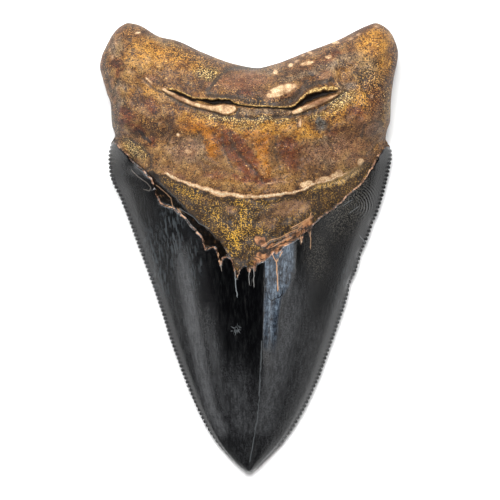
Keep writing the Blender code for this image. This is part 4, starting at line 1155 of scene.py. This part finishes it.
    # Dull where it is root, and smoother on the enamel and the black beside it.
    matt = add(tree, "MapRange", {0: patchy, 1: 0.3, 2: 0.7, 3: 0.5, 4: 0.75})
    shiny = add(tree, "MapRange", {0: field["dull"], 1: 0.0, 2: 0.8, 3: 0.15, 4: 0.4})
    shiny = add(tree, "Mix", {0: field["plate"], 2: shiny, 3: 0.22})
    shiny = add(tree, "Mix", {0: field["etched"], 2: shiny, 3: 0.3})
    sleek = add(tree, "MapRange", {0: field["gold_edge"], 1: -0.1, 2: 0.3})
    gloss = add(tree, "Mix", {0: sleek, 2: matt, 3: shiny})

    # The root's grain stands up by 0.19 mm, and the enamel's streaks and the fine folds by 0.07 mm. The folds,
    # beside the right edge, are arcs 0.65 mm apart.
    grain = add(tree, "Mix", {0: 0.45, 2: streak, 3: grit})
    tall = add(tree, "MapRange", {0: sleek, 1: 0.0, 2: 1.0, 3: 0.19 * MM, 4: 0.07 * MM})
    height = add(tree, "Mix", {0: sleek, 2: coarse, 3: grain})
    height = add(tree, "Math", {0: height, 1: tall}, operation="MULTIPLY")
    centred = add(tree, "Mapping", {"Vector": place, "Location": tuple(-side * MM for side in FOLD_CENTRE)})
    folds = add(
        tree, "TexWave",
        {
            "Vector": centred, "Scale": per_mm(0.65) * math.pi / 10, "Distortion": 2.5, "Detail": 2.0,
            "Detail Scale": 0.8,
        },
        out=1, wave_type="RINGS", rings_direction="Z",
    )
    folds = add(tree, "Math", {0: folds, 1: field["wrinkle"]}, operation="MULTIPLY")
    height = add(tree, "Math", {0: folds, 1: 0.07 * MM, 2: height}, operation="MULTIPLY_ADD")
    bump = add(tree, "Bump", {"Height": height, "Strength": 1.0, "Distance": 1.0})

    # The index is near apatite's. The low specular level keeps the mirror of the worn enamel soft.
    shader = add(tree, "BsdfPrincipled", {
        "Base Color": skin, "Roughness": gloss, "Normal": bump, "IOR": 1.62, "Specular IOR Level": 0.29,
    })
    add(tree, "OutputMaterial", {"Surface": shader})
    return material


# ---------------------------------------------------------------------------------------------------------
# The stage
# ---------------------------------------------------------------------------------------------------------

# The softboxes: azimuth and elevation in degrees, distance and size in metres, and power in watts.
SOFTBOXES = {
    "key": (-8, 64, 0.45, (0.34, 0.26), 4.3),
    "plate": (128, 57, 1.2, (0.3, 0.3), 1.2),
    "left_low": (-92, 25, 1.2, (0.5, 0.32), 5.2),
    "right_low": (100, 22, 1.2, (0.5, 0.4), 0.75),
    "front": (180, 30, 1.2, (0.8, 0.3), 1.3),
}
FLOOR_SIZE = 3.0  # in metres, from the middle to each side
FLOOR_GAP = 0.05 * MM  # how far the floor lies under the tooth, so that they don't touch
AIM = (0.25 * MM, -0.6 * MM, 4 * MM)  # the point that the camera hangs over
SENSOR_WIDTH = 36.0  # in mm


def matt_paper(tone):
    """Matt white background paper: an even, pale sheet that gives no reflection."""
    material = bpy.data.materials.new("matt_background_paper")
    material.use_nodes = True
    shader = material.node_tree.nodes["Principled BSDF"]
    shader.inputs["Base Color"].default_value = (*tone, 1.0)
    shader.inputs["Roughness"].default_value = 0.95
    shader.inputs["Specular IOR Level"].default_value = 0.1
    return material


def softbox(name, azimuth, elevation, distance, size, power):
    """A softbox that faces the tooth. Azimuth 0 stands beyond the root, and 90 on the right."""
    light = bpy.data.lights.new(name, "AREA")
    light.shape = "RECTANGLE"
    light.size, light.size_y = size
    light.energy = power
    lamp = bpy.data.objects.new(name, light)
    turn, tilt = math.radians(azimuth), math.radians(elevation)
    towards = Vector((math.sin(turn) * math.cos(tilt), math.cos(turn) * math.cos(tilt), math.sin(tilt)))
    lamp.location = towards * distance
    lamp.rotation_euler = towards.to_track_quat("Z", "Y").to_euler()
    lamp.visible_camera = False
    bpy.context.scene.collection.objects.link(lamp)


def studio_walls():
    """Pale walls all round, seen low down, and darkness overhead."""
    world = bpy.data.worlds.new("studio")
    world.use_nodes = True
    tree = world.node_tree
    tree.nodes.clear()
    direction = add(tree, "TexCoord", out=0)
    height = add(tree, "SeparateXYZ", {0: direction}, out=2)
    walls = add(tree, "MapRange", {0: height, 1: 0.4, 2: 0.2, 3: 0.02, 4: 0.22})
    sky = add(tree, "Background", {"Color": (1.0, 1.0, 1.0, 1.0), "Strength": walls})
    add(tree, "OutputWorld", {"Surface": sky})
    bpy.context.scene.world = world


# ---------------------------------------------------------------------------------------------------------
# The add-on
# ---------------------------------------------------------------------------------------------------------


class ToothShape(bpy.types.PropertyGroup):
    enamel_step: FloatProperty(
        name="Enamel step", description="How far the enamel stands over the root",
        default=0.6 * MM, min=0.0, max=2 * MM, subtype="DISTANCE", unit="LENGTH", precision=5,
    )
    root_lumps: FloatProperty(
        name="Root lumps", description="How high the root's broad lumps rise",
        default=0.6 * MM, min=0.0, max=2 * MM, subtype="DISTANCE", unit="LENGTH", precision=5,
    )
    serrations: IntProperty(
        name="Serrations", description="Serrations along each cutting edge",
        default=SERRATIONS, min=20, max=SERRATIONS,
    )
    serration_depth: FloatProperty(
        name="Serration depth", description="How deep the cutting edges are notched",
        default=0.46 * MM, min=0.0, max=1 * MM, subtype="DISTANCE", unit="LENGTH", precision=5,
    )


class ToothColours(bpy.types.PropertyGroup):
    ochre: FloatVectorProperty(
        name="Ochre", description="The root's yellow stains", default=linear("#B89A54"), size=3, subtype="COLOR"
    )
    gold: FloatVectorProperty(
        name="Gold", description="The root's golden patches", default=linear("#DAA646"), size=3, subtype="COLOR"
    )
    rust: FloatVectorProperty(
        name="Rust", description="The root's iron stains", default=linear("#824218"), size=3, subtype="COLOR"
    )
    cream: FloatVectorProperty(
        name="Cream", description="The growth line", default=linear("#CFAF88"), size=3, subtype="COLOR"
    )
    stain: FloatVectorProperty(
        name="Stain", description="The thin stain over the whole root",
        default=(0.82, 0.80, 0.73), size=3, subtype="COLOR",
    )


class StageSettings(bpy.types.PropertyGroup):
    paper: FloatVectorProperty(
        name="Paper", description="The background's colour", default=(0.95, 0.95, 0.95), size=3, subtype="COLOR"
    )
    light: FloatProperty(name="Light", description="The strength of all the softboxes", default=1.0, min=0.0)
    distance: FloatProperty(
        name="Distance", description="How far over the tooth the camera hangs",
        default=2.0, min=0.5, unit="LENGTH",
    )
    frame: FloatProperty(
        name="Frame", description="The width that the picture takes in", default=0.125, min=0.05, unit="LENGTH"
    )


class TOOTH_OT_tooth(bpy.types.Operator):
    """Model the fossil tooth and give it its finish"""

    bl_idname = "tooth.tooth"
    bl_label = "Tooth"

    def execute(self, context):
        mesh = tooth_mesh(context.scene.tooth_shape)
        mesh.materials.append(fossil_finish(context.scene.tooth_colours))
        mesh.shade_smooth()
        tooth = bpy.data.objects.new("fossil_tooth", mesh)
        context.scene.collection.objects.link(tooth)
        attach(tooth, "root")
        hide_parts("tooth")
        return {"FINISHED"}


class TOOTH_OT_stage(bpy.types.Operator):
    """Lay the floor, hang the softboxes and set up the camera"""

    bl_idname = "tooth.stage"
    bl_label = "Stage"

    def execute(self, context):
        settings = context.scene.tooth_stage
        sheet = bmesh.new()
        bmesh.ops.create_grid(sheet, x_segments=1, y_segments=1, size=FLOOR_SIZE)
        bmesh.ops.translate(sheet, verts=sheet.verts, vec=(0.0, 0.0, -FLOOR_GAP))
        mesh = bpy.data.meshes.new("floor")
        sheet.to_mesh(mesh)
        sheet.free()
        mesh.materials.append(matt_paper(settings.paper))
        floor = bpy.data.objects.new("floor", mesh)
        context.scene.collection.objects.link(floor)

        studio_walls()
        for name, (*place, power) in SOFTBOXES.items():
            softbox(name, *place, power * settings.light)

        camera = bpy.data.cameras.new("camera")
        camera.sensor_width = SENSOR_WIDTH
        camera.lens = camera.sensor_width * settings.distance / settings.frame
        camera.clip_end = 20.0
        eye = bpy.data.objects.new("camera", camera)
        eye.location = (AIM[0], AIM[1], settings.distance + AIM[2])
        context.scene.collection.objects.link(eye)
        context.scene.camera = eye
        context.scene.view_settings.view_transform = "Standard"
        return {"FINISHED"}


class TOOTH_PT_panel(bpy.types.Panel):
    bl_label = "Tooth"
    bl_idname = "TOOTH_PT_panel"
    bl_space_type = "VIEW_3D"
    bl_region_type = "UI"
    bl_category = "Tooth"

    def draw(self, context):
        for settings, operator in (
            (context.scene.tooth_shape, TOOTH_OT_tooth),
            (context.scene.tooth_colours, None),
            (context.scene.tooth_stage, TOOTH_OT_stage),
        ):
            column = self.layout.column(align=True)
            for name in settings.__annotations__:
                column.prop(settings, name)
            if operator:
                self.layout.operator(operator.bl_idname)


CLASSES = (ToothShape, ToothColours, StageSettings, TOOTH_OT_tooth, TOOTH_OT_stage, TOOTH_PT_panel)


def register():
    """Adds the classes and their settings to Blender."""
    for item in CLASSES:
        bpy.utils.register_class(item)
    bpy.types.Scene.tooth_shape = PointerProperty(type=ToothShape)
    bpy.types.Scene.tooth_colours = PointerProperty(type=ToothColours)
    bpy.types.Scene.tooth_stage = PointerProperty(type=StageSettings)


def unregister():
    """Takes them out again."""
    del bpy.types.Scene.tooth_stage
    del bpy.types.Scene.tooth_colours
    del bpy.types.Scene.tooth_shape
    for item in reversed(CLASSES):
        bpy.utils.unregister_class(item)


def main():
    """Builds the tooth and the stage."""
    register()
    bpy.ops.tooth.tooth()
    bpy.ops.tooth.stage()
    bpy.context.view_layer.update()


if __name__ == "__main__":
    main()
